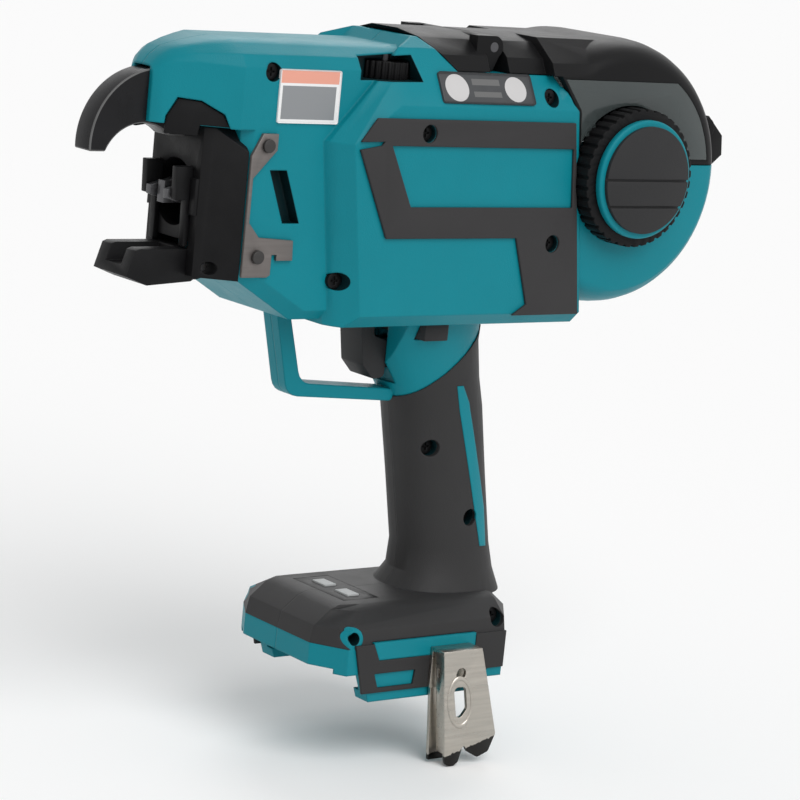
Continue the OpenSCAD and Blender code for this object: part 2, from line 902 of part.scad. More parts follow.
// Nose: guard plates in the hood's arches, the face plate across the head, contact plates at the mouth
face_t = 12;
face_nose_y = 17;
face_lap = 2;
face_lift = 18;
face_fore = head_fore + face_t;
face_low = floor_z + face_lift;
face_h = hood_floor - gap - face_low;
face_shares = [[-1, 0], [1, 0], [1, 0.86], [0.7, 1], [-0.7, 1], [-1, 0.86]];
leaf_y0 = 12.8;
leaf_y1 = 16.5;
leaf_z = 14;
leaf_t = 1.2;
guard_shares = [
    [0.94, -0.35], [0.92, 0.25], [0.79, 0.89], [0.5, 0.84], [0.22, 0.46], [0.12, 0.03], [0.5, 0.03], [0.52, -0.35]
];
module guard_plate() {
    color("darkslategray")
        both()
            on_flank()
                across(-arch_deep, plate_t / 2 - arch_deep)
                    polygon(within(0, hood_floor, -flank_len, arch_h, guard_shares));
}
function face_plan() = [
    [-face_fore, -over],
    [-face_fore, face_nose_y],
    [face_lap - head_fore, head_y],
    [face_lap - head_fore, head_y - head_round + face_lap],
    [-head_fore, head_y - head_round],
    [-head_fore, -over]
];
module face_plate() {
    color("black")
        difference() {
            union() {
                intersection() {
                    along(-face_fore, face_lap - head_fore)
                        polygon(within(0, face_low, head_y, face_h, face_shares));
                    translate([0, 0, face_low])
                        linear_extrude(face_h) {
                            polygon(face_plan());
                            mirror([0, 1])
                                polygon(face_plan());
                        }
                }
                both()
                    box(-face_fore - leaf_t, over - face_fore, leaf_y0, leaf_y1,
                        twist_z - leaf_z / 2, twist_z + leaf_z / 2);
            }
            rod_x(0, twist_z, sleeve_d / 2 + sleeve_play, -hood_fore, 0);
            box(-hood_fore, 0, -jaw_w / 2 - gap, jaw_w / 2 + gap, floor_z, jaw_top + jaw_play);
            rod_y(pin_x, pin_z, pin_r, -jaw_w, jaw_w);
        }
}
module curl_guide() {
    color("black")
        across(-curl_w / 2, curl_w / 2)
            intersection() {
                difference() {
                    translate([curl_x, tip_z + curl_up])
                        circle(curl_r);
                    translate([curl_x - curl_inner_back, tip_z + curl_up - curl_inner_drop])
                        circle(curl_inner_r);
                }
                polygon([
                    at(curl_x - 2 * curl_r, tip_z),
                    at(curl_x + curl_inner_r / 2, tip_z),
                    at(curl_x + curl_inner_r / 4, hood_floor - arch_h / 2),
                    at(-face_fore - gap, hood_floor - arch_h / 2),
                    at(-face_fore - gap, tip_z + curl_r),
                    at(curl_x - 2 * curl_r, tip_z + 2 * curl_r)
                ]);
            }
}
contact_y0 = 8.8;
contact_t = 3.5;
contact_reach = 7.5;
contact_h = hood_floor - jaw_top;
contact_shares = [
    [0.87, 0.66], [-0.5, 0.66], [-0.7, 0.87], [-1, 0.87], [-1, 0.02], [0.14, 0.02], [0.2, 0.39], [0.8, 0.39]
];
mouth_x = -121;
module contact_plates() {
    color("black")
        both()
            across(contact_y0, contact_y0 + contact_t)
                intersection() {
                    polygon(within(mouth_x, jaw_top, -contact_reach, contact_h, contact_shares));
                    polygon([
                        at(-hood_fore, floor_z),
                        at(-face_fore, floor_z),
                        at(-face_fore, hood_floor - arch_h / 2),
                        at(-hood_fore, hood_floor - arch_h / 2)
                    ]);
                }
}

// Side plates: a hooked steel plate each side, held by two screws
plate_w = 23;
plate_x = face_lap + gap - head_fore;
plate_h = 57;
side_plate_shares = [
    [0, 0.03], [0, 0.85], [0.2, 1], [0.5, 1], [0.5, 0.89], [0.06, 0.7], [0.06, 0.4], [0.28, 0.3],
    [0.98, 0.28], [1, 0.14], [0.76, 0.14], [0.72, 0.08], [0.5, 0.03]
];
plate_screw_shares = [[0.3, 0.92], [0.27, 0.17]];
plate_screws = within(plate_x, face_low, plate_w, plate_h, plate_screw_shares);
plate_screw_r = 2.6;
plate_screw_deep = 8;
module plate_holes() {
    for (p = plate_screws)
        rod_y(p[0], p[1], plate_screw_r / 2, head_y - plate_screw_deep, head_y + over);
}
module side_plate() {
    difference() {
        across(head_y, head_y + plate_t / 2)
            polygon(within(plate_x, face_low, plate_w, plate_h, side_plate_shares));
        for (p = plate_screws)
            rod_y(p[0], p[1], plate_screw_r / 2 + fit, 0, body_w);
    }
}
module side_plate_left() {
    color("gray")
        left()
            side_plate();
}
module side_plate_right() {
    color("gray")
        side_plate();
}
module side_plate_screws() {
    color("dimgray")
        both()
            for (p = plate_screws) {
                rod_y(p[0], p[1], plate_screw_r, head_y + plate_t / 2, head_y + plate_t);
                rod_y(p[0], p[1], plate_screw_r / 2, head_y - plate_screw_deep, head_y + plate_t);
            }
}

// Lower jaw: a slotted fork that swings on a pin between the face plate's cheeks
pin_back = 7;
pin_drop = 6;
pin_x = -head_fore - pin_back;
pin_z = jaw_top - pin_drop;
pin_r = 2.5;
jaw_eye = 5.9;
jaw_play = 3;
jaw_reach = 31;
jaw_h = 14;
jaw_shares = [
    [1, 0.25], [0.9, 0.95], [0.84, 1], [0.04, 1], [-0.08, 0.8], [-0.08, 0.3], [0.06, 0.1], [0.7, 0]
];
module lower_jaw() {
    color("black")
        difference() {
            union() {
                across(-jaw_w / 2, jaw_w / 2)
                    polygon(within(pin_x, jaw_top - jaw_h, -jaw_reach, jaw_h, jaw_shares));
                rod_y(pin_x, pin_z, jaw_eye, -jaw_w / 2, jaw_w / 2);
            }
            box(-2 * hood_fore, pin_x - jaw_eye - gap, -curl_w / 2, curl_w / 2,
                jaw_top - jaw_h / 2, jaw_top + over);
            rod_y(pin_x, pin_z, pin_r + fit, -jaw_w, jaw_w);
        }
}
module jaw_pin() {
    color("silver")
        rod_y(pin_x, pin_z, pin_r, -jaw_w / 2 - plate_t, jaw_w / 2 + plate_t);
}

// Twister: shaft with its planet carrier, two side hooks rooted in a slotted sleeve
shaft_r = 4.5;
shaft_fore = 122;
shaft_tip = 4;
carrier_fore = 46;
carrier_t = 4;
carrier_r = 14;
sun_teeth = 12;
planet_teeth = 12;
ring_teeth = sun_teeth + 2 * planet_teeth;
orbit_r = gear_m * (sun_teeth + planet_teeth) / 2;
planet_w = 6;
planet_pin_r = 1.6;
planet_fore = carrier_fore - carrier_t - gap;
tooth_shares = [[-0.24, -1.1], [-0.104, 0.85], [0.104, 0.85], [0.24, -1.1]];
ring_tooth_shares = [[-0.37, -0.85], [-0.2, 1.1], [0.2, 1.1], [0.37, -0.85]];
function gear_outline(teeth, m, shares) = [
    for (i = [0:teeth - 1], q = shares)
        let (a = 360 / teeth * (i + q[0]), p = m * (teeth / 2 + q[1])) p * [cos(a), sin(a)]
];
function planet_angle(i) = 90 + 120 * i;
module twister_shaft() {
    color("silver") {
        rod_x(0, twist_z, shaft_r, -shaft_fore, carrier_t / 2 - carrier_fore);
        rod_x(0, twist_z, carrier_r, -carrier_fore, carrier_t - carrier_fore);
        for (i = [0:2])
            rod_x(orbit_r * cos(planet_angle(i)), twist_z + orbit_r * sin(planet_angle(i)), planet_pin_r,
                -carrier_fore, planet_w - planet_fore);
        along(-shaft_fore - shaft_tip, over - shaft_fore)
            translate([0, twist_z])
                square([shaft_r, shaft_r + shaft_tip], center = true);
    }
}
claw_t = 3;
claw_root = 6;
claw_h = 9;
claw_tip = 6;
claw_len = sleeve_fore - claw_root - shaft_fore - claw_tip;
claw_shares = [[0, -0.35], [0, 0.35], [0.7, 0.5], [1, 0.2], [1, -0.2], [0.7, -0.5]];
module side_hooks() {
    color("gray")
        both()
            across(shaft_r, shaft_r + claw_t)
                polygon(within(claw_root - sleeve_fore, twist_z, claw_len, claw_h, claw_shares));
}
module twister_sleeve() {
    color("slategray")
        difference() {
            rod_x(0, twist_z, sleeve_d / 2, -sleeve_fore, sleeve_len - sleeve_fore);
            rod_x(0, twist_z, shaft_r, -sleeve_fore - over, sleeve_len + over - sleeve_fore);
            side_hooks();
        }
}
module sleeve_bearing() {
    color("goldenrod")
        difference() {
            rod_x(0, twist_z, bush_r, -bush_fore, bush_len - bush_fore);
            rod_x(0, twist_z, sleeve_d / 2 + fit, -bush_fore - over, bush_len + over - bush_fore);
        }
}
carrier_play = 1;
module gear_case() {
    color("dimgray")
        difference() {
            rod_x(0, twist_z, case_r, -gear_case_fore, -motor_fore);
            along(-carrier_fore - carrier_play, 0)
                translate([0, twist_z])
                    rotate(180 / ring_teeth)
                        polygon(gear_outline(ring_teeth, gear_m, ring_tooth_shares));
            rod_x(0, twist_z, shaft_r + fit, -gear_case_fore - over, 0);
        }
}
module planet(i) {
    color("silver")
        translate([-planet_fore, orbit_r * cos(planet_angle(i)), twist_z + orbit_r * sin(planet_angle(i))])
            rotate([90, 0, 90])
                difference() {
                    linear_extrude(planet_w)
                        rotate(180 / planet_teeth)
                            polygon(gear_outline(planet_teeth, gear_m, tooth_shares));
                    translate([0, 0, -over])
                        cylinder(r = planet_pin_r + fit, h = planet_w + 2 * over);
                }
}
module planet_gear_1() {
    planet(0);
}
module planet_gear_2() {
    planet(1);
}
module planet_gear_3() {
    planet(2);
}

// Twisting motor: stator ring, rotor with the sun gear and two bearings
rotor_r = 10;
air = 0.6;
rotor_pin_r = 2.5;
bearing_r = 7;
stator_aft = motor_len - motor_fore;
module motor_stator() {
    color("saddlebrown")
        difference() {
            rod_x(0, twist_z, motor_d / 2, -motor_fore, stator_aft + bearing_w);
            rod_x(0, twist_z, rotor_r + air, bearing_w - motor_fore, stator_aft);
            rod_x(0, twist_z, bearing_r, -motor_fore - over, stator_aft + bearing_w + over);
        }
}
module motor_rotor() {
    color("darkgray") {
        rod_x(0, twist_z, rotor_r, bearing_w + air - motor_fore, stator_aft - air);
        rod_x(0, twist_z, rotor_pin_r, -planet_fore, stator_aft + bearing_w);
        along(-planet_fore, planet_w - planet_fore)
            translate([0, twist_z])
                polygon(gear_outline(sun_teeth, gear_m, tooth_shares));
    }
}
module rotor_bearings() {
    color("silver")
        for (x = [-motor_fore, stator_aft])
            difference() {
                rod_x(0, twist_z, bearing_r, x, x + bearing_w);
                rod_x(0, twist_z, rotor_pin_r + fit, x - over, x + bearing_w + over);
            }
}

// Wire feed: motor, pinion, two grooved rollers and the duct to the nose
wire_r = 0.8;
wire_y = 1.5;
module feed_motor() {
    color("dimgray")
        difference() {
            rod_y(feed_motor_x, feed_motor_z, feed_motor_d / 2 - fit,
                feed_motor_y, feed_motor_y + feed_motor_len);
            rod_y(feed_motor_x, feed_motor_z, feed_pin_r + fit, feed_motor_y - over,
                feed_motor_y + feed_motor_len - feed_motor_back);
        }
}
module spur(x, z, teeth, turn) {
    across(spur_y, spur_y + spur_w)
        translate([x, z])
            rotate(turn)
                polygon(gear_outline(teeth, spur_m, tooth_shares));
}
mesh_angle = atan2(feed_sag, feed_span);
module feed_pinion() {
    color("goldenrod") {
        spur(feed_motor_x, feed_motor_z, pinion_teeth, mesh_angle);
        rod_y(feed_motor_x, feed_motor_z, feed_pin_r, spur_y,
            feed_motor_y + feed_motor_len - feed_motor_back - gap);
    }
}
module roller(z, y1) {
    difference() {
        rod_y(feed_x, z, roller_r - gap / 2, -feed_roller_w / 2, feed_roller_w / 2);
        for (y = [-wire_y, wire_y])
            translate([feed_x, y, z])
                rotate([90, 0, 0])
                    rotate_extrude()
                        translate([roller_r, 0])
                            circle(wire_r);
    }
    rod_y(feed_x, z, feed_pin_r, -feed_pin_left, y1);
}
module feed_roller_lower() {
    color("silver") {
        roller(feed_low_z, feed_pin_right);
        spur(feed_x, feed_low_z, spur_teeth, mesh_angle + 180 + 180 / spur_teeth);
        rod_y(feed_x, feed_low_z, roller_r - feed_play, 0, spur_y + spur_w);
    }
}
module feed_roller_upper() {
    color("silver")
        roller(feed_high_z, feed_roller_w / 2);
}
module wire_guide() {
    color("silver")
        difference() {
            box(over - head_fore, feed_x - roller_r - feed_play - gap, -wire_duct_w / 2, wire_duct_w / 2,
                wire_z - wire_duct_h / 2, wire_z + wire_duct_h / 2);
            box(-head_fore, feed_x, -wire_duct_w * duct_bore_share / 2, wire_duct_w * duct_bore_share / 2,
                wire_z - wire_duct_h * duct_bore_share / 2, wire_z + wire_duct_h * duct_bore_share / 2);
        }
}

// Roof section shared by the hinge block and the cover's tongue, as [half width, height]
roof_drop = 6;
roof_edge = 11;
roof_slope = 3;
roof_sink = 1.5;
roof_top = reel_z + drum_r - roof_sink;
roof_rise = roof_top - body_top;
function roof(inset, low) = let (y = facet_y - inset, z = roof_top - inset) [
    [-y, low],
    [y, low],
    [y - roof_slope, z - roof_rise - roof_drop],
    [y - roof_edge, z - roof_rise],
    [y - 2 * roof_edge, z],
    [2 * roof_edge - y, z],
    [roof_edge - y, z - roof_rise],
    [roof_slope - y, z - roof_rise - roof_drop]
];

// Hinge block fixed on the body ahead of the cover, with two ears that carry the pin
hinge_x = 10;
hinge_drop = 4.6;
hinge_z = roof_top - hinge_drop;
hinge_r = 2;
knuckle_r = hinge_drop - gap / 4;
ear_y0 = 20;
ear_t = 5.5;
module hinge_shape(r) {
    translate([hinge_x, hinge_z])
        circle(r);
}
module hinge_block() {
    color("darkslategray")
        difference() {
            union() {
                intersection() {
                    along(-cover_fore - cover_slope, hinge_x)
                        polygon(roof(0, tongue_z));
                    across(-body_w, body_w)
                        difference() {
                            polygon([
                                at(-cover_fore - cover_slope, cover_sky),
                                at(-cover_fore, tongue_z - gap),
                                at(hinge_x - knuckle_r - gap, tongue_z - gap),
                                at(hinge_x - knuckle_r - gap, cover_sky)
                            ]);
                            hinge_shape(knuckle_r + gap);
                        }
                }
                both()
                    across(ear_y0, ear_y0 + ear_t) {
                        hinge_shape(knuckle_r);
                        polygon([
                            at(hinge_x - 2 * knuckle_r, tongue_z),
                            at(hinge_x, tongue_z),
                            at(hinge_x + knuckle_r, hinge_z),
                            at(hinge_x, hinge_z + knuckle_r),
                            at(hinge_x - 2 * knuckle_r, hinge_z + knuckle_r)
                        ]);
                    }
            }
            rod_y(hinge_x, hinge_z, hinge_r, -body_w, body_w);
        }
}
module cover_pin() {
    color("silver")
        rod_y(hinge_x, hinge_z, hinge_r, -ear_y0 - ear_t, ear_y0 + ear_t);
}

// Reel cover: dome over the reel, a tongue to its hinge, flat cheeks with windows, ears for the latch
cheek_y = drum_y;
cheek_fore = rear_top_x - tail_lean - 2 * over;
cheek_shares = [[1, 0], [1, 0.72], [0.93, 0.82], [0.6, 1], [-0.6, 1], [-0.93, 0.82], [-1, 0.72], [-1, 0]];
function cheek(inset) = [
    for (s = cheek_shares) [(cheek_y - inset) * s[0], part_z - over + (roof_top - inset - part_z + over) * s[1]]
];
latch_w = 26;
latch_h = 24;
latch_deep = 20;
latch_x = reel_x + drum_r + gap;
latch_pin_back = 6;
latch_pin_up = 13;
latch_pin_x = latch_x + latch_pin_back;
latch_pin_z = part_z + latch_pin_up;
latch_pin_r = 1.8;
latch_ear_t = 3;
latch_ear_r = 4.5;
latch_ear_in = 5.6;
module cover_shell() {
    difference() {
        union() {
            intersection() {
                difference() {
                    union() {
                        both()
                            barrel_half(0);
                        along(hinge_x, reel_x)
                            polygon(roof(0, tongue_z));
                        along(cheek_fore, reel_x)
                            polygon(cheek(0));
                    }
                    both()
                        barrel_half(-drum_wall);
                    along(hinge_x + 2 * knuckle_r, reel_x)
                        polygon(roof(drum_wall, part_z));
                    along(cheek_fore + drum_wall, reel_x)
                        polygon(cheek(drum_wall));
                }
                across(-body_w, body_w)
                    polygon(cover_zone(0));
            }
            across(gap - ear_y0, ear_y0 - gap)
                hinge_shape(knuckle_r);
            both()
                across(latch_w / 2 + gap, latch_w / 2 + gap + latch_ear_t) {
                    translate([latch_pin_x, latch_pin_z])
                        circle(latch_ear_r);
                    polygon([
                        at(latch_x - latch_ear_in, latch_pin_z + latch_ear_r),
                        at(latch_pin_x, latch_pin_z + latch_ear_r),
                        at(latch_pin_x, latch_pin_z - latch_ear_r),
                        at(latch_x - latch_ear_in, latch_pin_z - latch_ear_r)
                    ]);
                }
        }
        both()
            across(ear_y0 - gap, body_w)
                polygon([
                    at(-cover_fore, tongue_z - gap),
                    at(hinge_x + knuckle_r + 2 * gap, tongue_z - gap),
                    at(hinge_x + knuckle_r + 2 * gap, cover_sky),
                    at(-cover_fore, cover_sky)
                ]);
        rod_y(hinge_x, hinge_z, hinge_r + fit, -body_w, body_w);
        rod_y(latch_pin_x, latch_pin_z, latch_pin_r, -latch_w, latch_w);
        rod_y(reel_x, reel_z, knob_base_r + gap, -body_w, over + drum_wall - drum_y);
        rod_y(reel_x, reel_z, hub_r + gap, 0, drum_y - hub_seat + gap);
    }
}
window_in = 2;
window_low = part_z + window_in;
module window_face(y0, y1) {
    intersection() {
        union() {
            rod_y(reel_x, reel_z, drum_face_r - window_in / 4, y0, y1);
            box(cheek_fore, reel_x, y0, y1, window_low, tongue_z);
        }
        across(y0, y1)
            polygon([
                at(rear_top_x - tail_lean + window_in, tongue_z - window_in / 2),
                at(rear_top_x + window_in, side_top),
                at(rear_top_x + 2 * window_in, window_low),
                at(cover_far, window_low),
                at(cover_far, tongue_z - window_in / 2)
            ]);
    }
}
module reel_cover() {
    color("darkslategray")
        difference() {
            cover_shell();
            both()
                window_face(drum_y - drum_wall - over, body_w);
        }
}
module cover_windows() {
    color("gray")
        difference() {
            both()
                window_face(drum_y - drum_wall, drum_y);
            rod_y(reel_x, reel_z, knob_base_r + gap, -body_w, over + drum_wall - drum_y);
            rod_y(reel_x, reel_z, hub_r + gap, 0, drum_y - hub_seat + gap);
        }
}
latch_shares = [[0, 0], [0, 1], [0.5, 1], [0.95, 0.65], [1, 0.3], [0.55, 0]];
latch_drop = 6;
module cover_latch() {
    color("black")
        difference() {
            across(-latch_w / 2, latch_w / 2)
                polygon(within(latch_x, part_z - latch_drop, latch_deep, latch_h, latch_shares));
            rod_y(latch_pin_x, latch_pin_z, latch_pin_r + fit, -latch_w, latch_w);
        }
}
module latch_pin() {
    color("silver")
        rod_y(latch_pin_x, latch_pin_z, latch_pin_r, -latch_w / 2 - latch_ear_t, latch_w / 2 + latch_ear_t);
}

// Reel stopper: notched base ring, spindle, turning ring with its cap, and the hub on the far side
knob_notches = 40;
notch_r = 0.9;
ring_t = 3.2;
ring_lip = 2.4;
cap_r = knob_d / 2 - ring_lip;
cap_t = 1.8;
groove_w = 1;
groove_up = 0;
groove_low = 11;
knob_y = drum_y + knob_base_t + gap;
module knob_base() {
    color("black")
        difference() {
            rod_y(reel_x, reel_z, knob_base_r, -drum_y - knob_base_t, -drum_y);
            rod_y(reel_x, reel_z, spindle_r + fit, -body_w, 0);
            for (i = [0:knob_notches - 1]) let (a = 360 * i / knob_notches)
                rod_y(reel_x + knob_base_r * cos(a), reel_z + knob_base_r * sin(a), notch_r, -body_w, 0);
        }
}
module stopper_spindle() {
    color("silver")
        rod_y(reel_x, reel_z, spindle_r, -knob_y, stopper_pull - drum_y);
}
module knob_ring() {
    color("teal")
        rod_y(reel_x, reel_z, knob_d / 2, -knob_y - ring_t, -knob_y);
}
module knob_cap() {
    color("black")
        difference() {
            rod_y(reel_x, reel_z, cap_r, -knob_y - ring_t - cap_t, -knob_y - ring_t);
            for (drop = [groove_up, groove_low])
                box(reel_x - cap_r, reel_x + cap_r, -body_w, groove_w - knob_y - ring_t - cap_t,
                    reel_z - drop - groove_w / 2, reel_z - drop + groove_w / 2);
        }
}
module reel_hub() {
    color("silver")
        rod_y(reel_x, reel_z, hub_r, drum_y - stopper_pull, drum_y - hub_seat);
}

// Trigger, its switch and the cross-bolt lock
trigger_round = 2;
trigger_shares = [[0, 1], [0.2, 0.25], [0.6, 0], [1, 0.04], [1, 0.66], [0.5, 0.75], [0.5, 1]];
module trigger() {
    color("black") {
        across(-trigger_w / 2, trigger_w / 2)
            polygon(rounded(
                within(-trigger_fore, trigger_z, trigger_depth, trigger_top - trigger_z, trigger_shares),
                trigger_round));
        box(trigger_depth / 2 - trigger_fore, -stem_aft, -trigger_w / 4, trigger_w / 4, stem_z0, stem_z1);
    }
}
module trigger_switch() {
    color("dimgray")
        box(switch_x, switch_x + switch_len, -switch_w / 2, switch_w / 2, switch_z0, switch_z1);
}
module lock_button() {
    color("black")
        lock_bar(0);
}

// Tying force dial on its pin
dial_ribs = 24;
dial_rib_r = 0.8;
module dial() {
    color("black")
        translate([dial_x, -dial_y, dial_z])
            difference() {
                cylinder(r = dial_d / 2, h = dial_h, center = true);
                cylinder(r = dial_pin_r + fit, h = dial_h + over, center = true);
                for (i = [0:dial_ribs - 1])
                    rotate(360 * i / dial_ribs)
                        translate([dial_d / 2, 0, 0])
                            cylinder(r = dial_rib_r, h = dial_h + over, center = true);
            }
}
module dial_pin() {
    color("silver")
        translate([dial_x, -dial_y, dial_z])
            cylinder(r = dial_pin_r, h = dial_pin_len, center = true);
}

// Foot controls and electrics
module key(y, c, z1) {
    box(panel_x - key_l / 2 - c, panel_x + key_l / 2 + c, y - key_w / 2 - c, y + key_w / 2 + c, key_floor, z1);
}
module control_panel() {
    color("black")
        difference() {
            box(panel_x - panel_l / 2, panel_x + panel_l / 2, -panel_w / 2, panel_w / 2,
                foot_h - panel_t, foot_h);
            for (y = [-key_y, key_y])
                translate([0, 0, -key_travel])
                    key(y, fit, foot_h + over);
        }
}
module power_button() {
    color("lightgray")
        key(-key_y, 0, foot_h + key_proud);
}
module mode_button() {
    color("lightgray")
        key(key_y, 0, foot_h + key_proud);
}
module control_board() {
    color("darkgreen")
        box(-board_l / 2, board_l / 2, -board_w / 2, board_w / 2, board_z, board_z + board_t);
}
module terminal_block() {
    color("black")
        box(block_x - block_l / 2, block_x + block_l / 2, -block_w / 2, block_w / 2, -block_h, board_z);
}
module terminal_blades() {
    color("gold")
        both()
            box(block_x - block_l / 2 - blade_l, block_x - block_l / 2, blade_y, blade_y + blade_t,
                blade_t - block_h, blade_t + blade_h - block_h);
}

// Belt hook: a plate bent over the top, its outer leaf slotted and forked, with a flange along the front
hook_x = 8.5;
hook_t = 1.6;
hook_top = 7;
hook_drop = 42.5;
hook_stand = 9;
hook_y = foot_y + foot_pad_t;
hook_plate_h = 17;
hook_screw_z = -3;
hook_screw_r = 2;
hook_screw_head = 1.6;
hook_hole_r = 2.5;
hook_eye = 4;
hook_len = hook_top + hook_drop;
hook_shares = [
    [-0.5, 1], [0.5, 1], [1.08, 0.24], [0.93, 0.09], [0.65, 0.05], [0.38, 0.11], [0.25, 0.19],
    [0.15, 0.03], [0.03, 0], [-0.17, 0.01], [-0.22, 0.11]
];
hook_slot_shares = [[-0.16, 0.69], [0.16, 0.68], [0.25, 0.49], [0.12, 0.42], [-0.02, 0.42]];
hook_flange_shares = [[-0.5, 1], [-0.42, 1], [-0.15, 0.12], [-0.22, 0.11]];
hook_rounding = 2;
module belt_hook() {
    color("silver")
        left()
            difference() {
                union() {
                    box(hook_x - hook_w / 2, hook_x + hook_w / 2, hook_y, hook_y + hook_t,
                        hook_top - hook_plate_h, hook_top);
                    box(hook_x - hook_w / 2, hook_x + hook_w / 2, hook_y, hook_y + hook_stand,
                        hook_top - hook_t, hook_top);
                    across(hook_y + hook_stand - hook_t, hook_y + hook_stand)
                        polygon(rounded(
                            within(hook_x, -hook_drop, hook_w, hook_len, hook_shares), hook_rounding));
                    across(hook_y + 2 * hook_t, hook_y + hook_stand - hook_t / 2)
                        polygon(within(hook_x, -hook_drop, hook_w, hook_len, hook_flange_shares));
                }
                rod_y(hook_x, hook_screw_z, hook_screw_r + fit, 0, hook_y + hook_stand / 2);
                rod_y(hook_x, hook_screw_z, hook_hole_r, hook_y + hook_stand / 2, body_w);
                across(hook_y + hook_stand / 2, body_w)
                    polygon(rounded(
                        within(hook_x, -hook_drop, hook_w, hook_len, hook_slot_shares), hook_rounding));
                box(hook_x - hook_w, hook_x, hook_y + hook_stand / 2, hook_y + hook_stand - 2 * hook_t,
                    hook_screw_z - hook_eye / 2, hook_screw_z + hook_eye / 2);
            }
}
module hook_screw() {
    color("silver")
        left() {
            rod_y(hook_x, hook_screw_z, hook_screw_r, recess_y, hook_y + hook_t);
            rod_y(hook_x, hook_screw_z, hook_hole_r + hook_t / 2,
                hook_y + hook_t, hook_y + hook_t + hook_screw_head);
        }
}

// Housing screws with a cross recess in each head
cross_w = 0.8;
cross_l = 3.4;
module housing_screws() {
    color("dimgray")
        left()
            for (s = screw_seats)
                difference() {
                    union() {
                        rod_y(s[0][0], s[0][1], screw_head_r, s[1], s[1] + screw_head_t);
                        rod_y(s[0][0], s[0][1], screw_r, -screw_bite, s[1] + screw_head_t / 2);
                    }
                    translate([s[0][0], s[1] + screw_head_t, s[0][1]]) {
                        cube([cross_l, screw_head_t, cross_w], center = true);
                        cube([cross_w, screw_head_t, cross_l], center = true);
                    }
                }
}

housing_left();
housing_right();
grip_left();
grip_right();
side_pad_left();
side_pad_right();
guard_plate();
face_plate();
curl_guide();
contact_plates();
side_plate_left();
side_plate_right();
side_plate_screws();
lower_jaw();
jaw_pin();
twister_shaft();
side_hooks();
twister_sleeve();
sleeve_bearing();
gear_case();
planet_gear_1();
planet_gear_2();
planet_gear_3();
motor_stator();
motor_rotor();
rotor_bearings();
feed_motor();
feed_pinion();
feed_roller_lower();
feed_roller_upper();
wire_guide();
hinge_block();
cover_pin();
reel_cover();
cover_windows();
cover_latch();
latch_pin();
knob_base();
stopper_spindle();
knob_ring();
knob_cap();
reel_hub();
trigger();
trigger_switch();
lock_button();
dial();
dial_pin();
control_panel();
power_button();
mode_button();
control_board();
terminal_block();
terminal_blades();
belt_hook();
hook_screw();
housing_screws();
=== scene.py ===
import json
import math

import bpy
from mathutils import Matrix, Vector


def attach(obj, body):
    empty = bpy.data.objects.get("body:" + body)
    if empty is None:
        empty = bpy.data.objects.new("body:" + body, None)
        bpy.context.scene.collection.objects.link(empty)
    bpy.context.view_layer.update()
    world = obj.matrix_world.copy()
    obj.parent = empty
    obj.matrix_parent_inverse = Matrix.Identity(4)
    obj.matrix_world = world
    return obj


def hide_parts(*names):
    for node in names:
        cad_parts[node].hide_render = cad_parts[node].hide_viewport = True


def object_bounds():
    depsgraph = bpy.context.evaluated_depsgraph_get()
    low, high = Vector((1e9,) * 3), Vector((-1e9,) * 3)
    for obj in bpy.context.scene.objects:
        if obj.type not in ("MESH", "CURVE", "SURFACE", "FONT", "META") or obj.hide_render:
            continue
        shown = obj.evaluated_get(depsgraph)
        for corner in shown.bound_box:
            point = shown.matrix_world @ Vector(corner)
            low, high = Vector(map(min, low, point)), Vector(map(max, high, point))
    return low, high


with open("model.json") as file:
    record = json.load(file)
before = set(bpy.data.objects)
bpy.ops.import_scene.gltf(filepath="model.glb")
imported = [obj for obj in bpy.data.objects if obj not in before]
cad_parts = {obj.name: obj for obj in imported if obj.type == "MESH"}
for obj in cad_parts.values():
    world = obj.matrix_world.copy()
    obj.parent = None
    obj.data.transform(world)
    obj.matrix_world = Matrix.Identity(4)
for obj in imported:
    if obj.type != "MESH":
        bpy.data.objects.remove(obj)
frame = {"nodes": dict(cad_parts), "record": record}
cad_low, cad_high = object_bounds()

# Studio: a pale floor below the hook's tip, white all round, one broad soft key lamp from the
# upper left and a weaker lamp behind, with the camera at the photograph's angle.
mm = 0.001
look = Vector((0.6085, 0.7714, -0.1860)).normalized()
upright = Vector((0.0368, 0.2067, 0.9777))
side = look.cross(upright).normalized()
rise = side.cross(look)
aim = Vector((0, 0, 0.102))
stand_off = 1.2397
camera_data = bpy.data.cameras.new("camera")
camera_data.sensor_width = 36
camera_data.lens = 135
camera_data.clip_end = 100
camera = bpy.data.objects.new("camera", camera_data)
bpy.context.scene.collection.objects.link(camera)
turned = Matrix((side, rise, -look)).transposed().to_4x4()
camera.matrix_world = Matrix.Translation(aim - look * stand_off) @ turned
bpy.context.scene.camera = camera
bpy.context.scene.view_settings.view_transform = "Standard"


def sun(name, way, strength, spread):
    data = bpy.data.lights.new(name, "SUN")
    data.energy = strength
    data.angle = math.radians(spread)
    lamp = bpy.data.objects.new(name, data)
    bpy.context.scene.collection.objects.link(lamp)
    lamp.rotation_euler = Vector(way).to_track_quat("-Z", "Y").to_euler()


sun("key", (0.08, 0.78, -0.72), 1.75, 50)
sun("back", (-0.5, -0.6, -0.6), 0.6, 30)

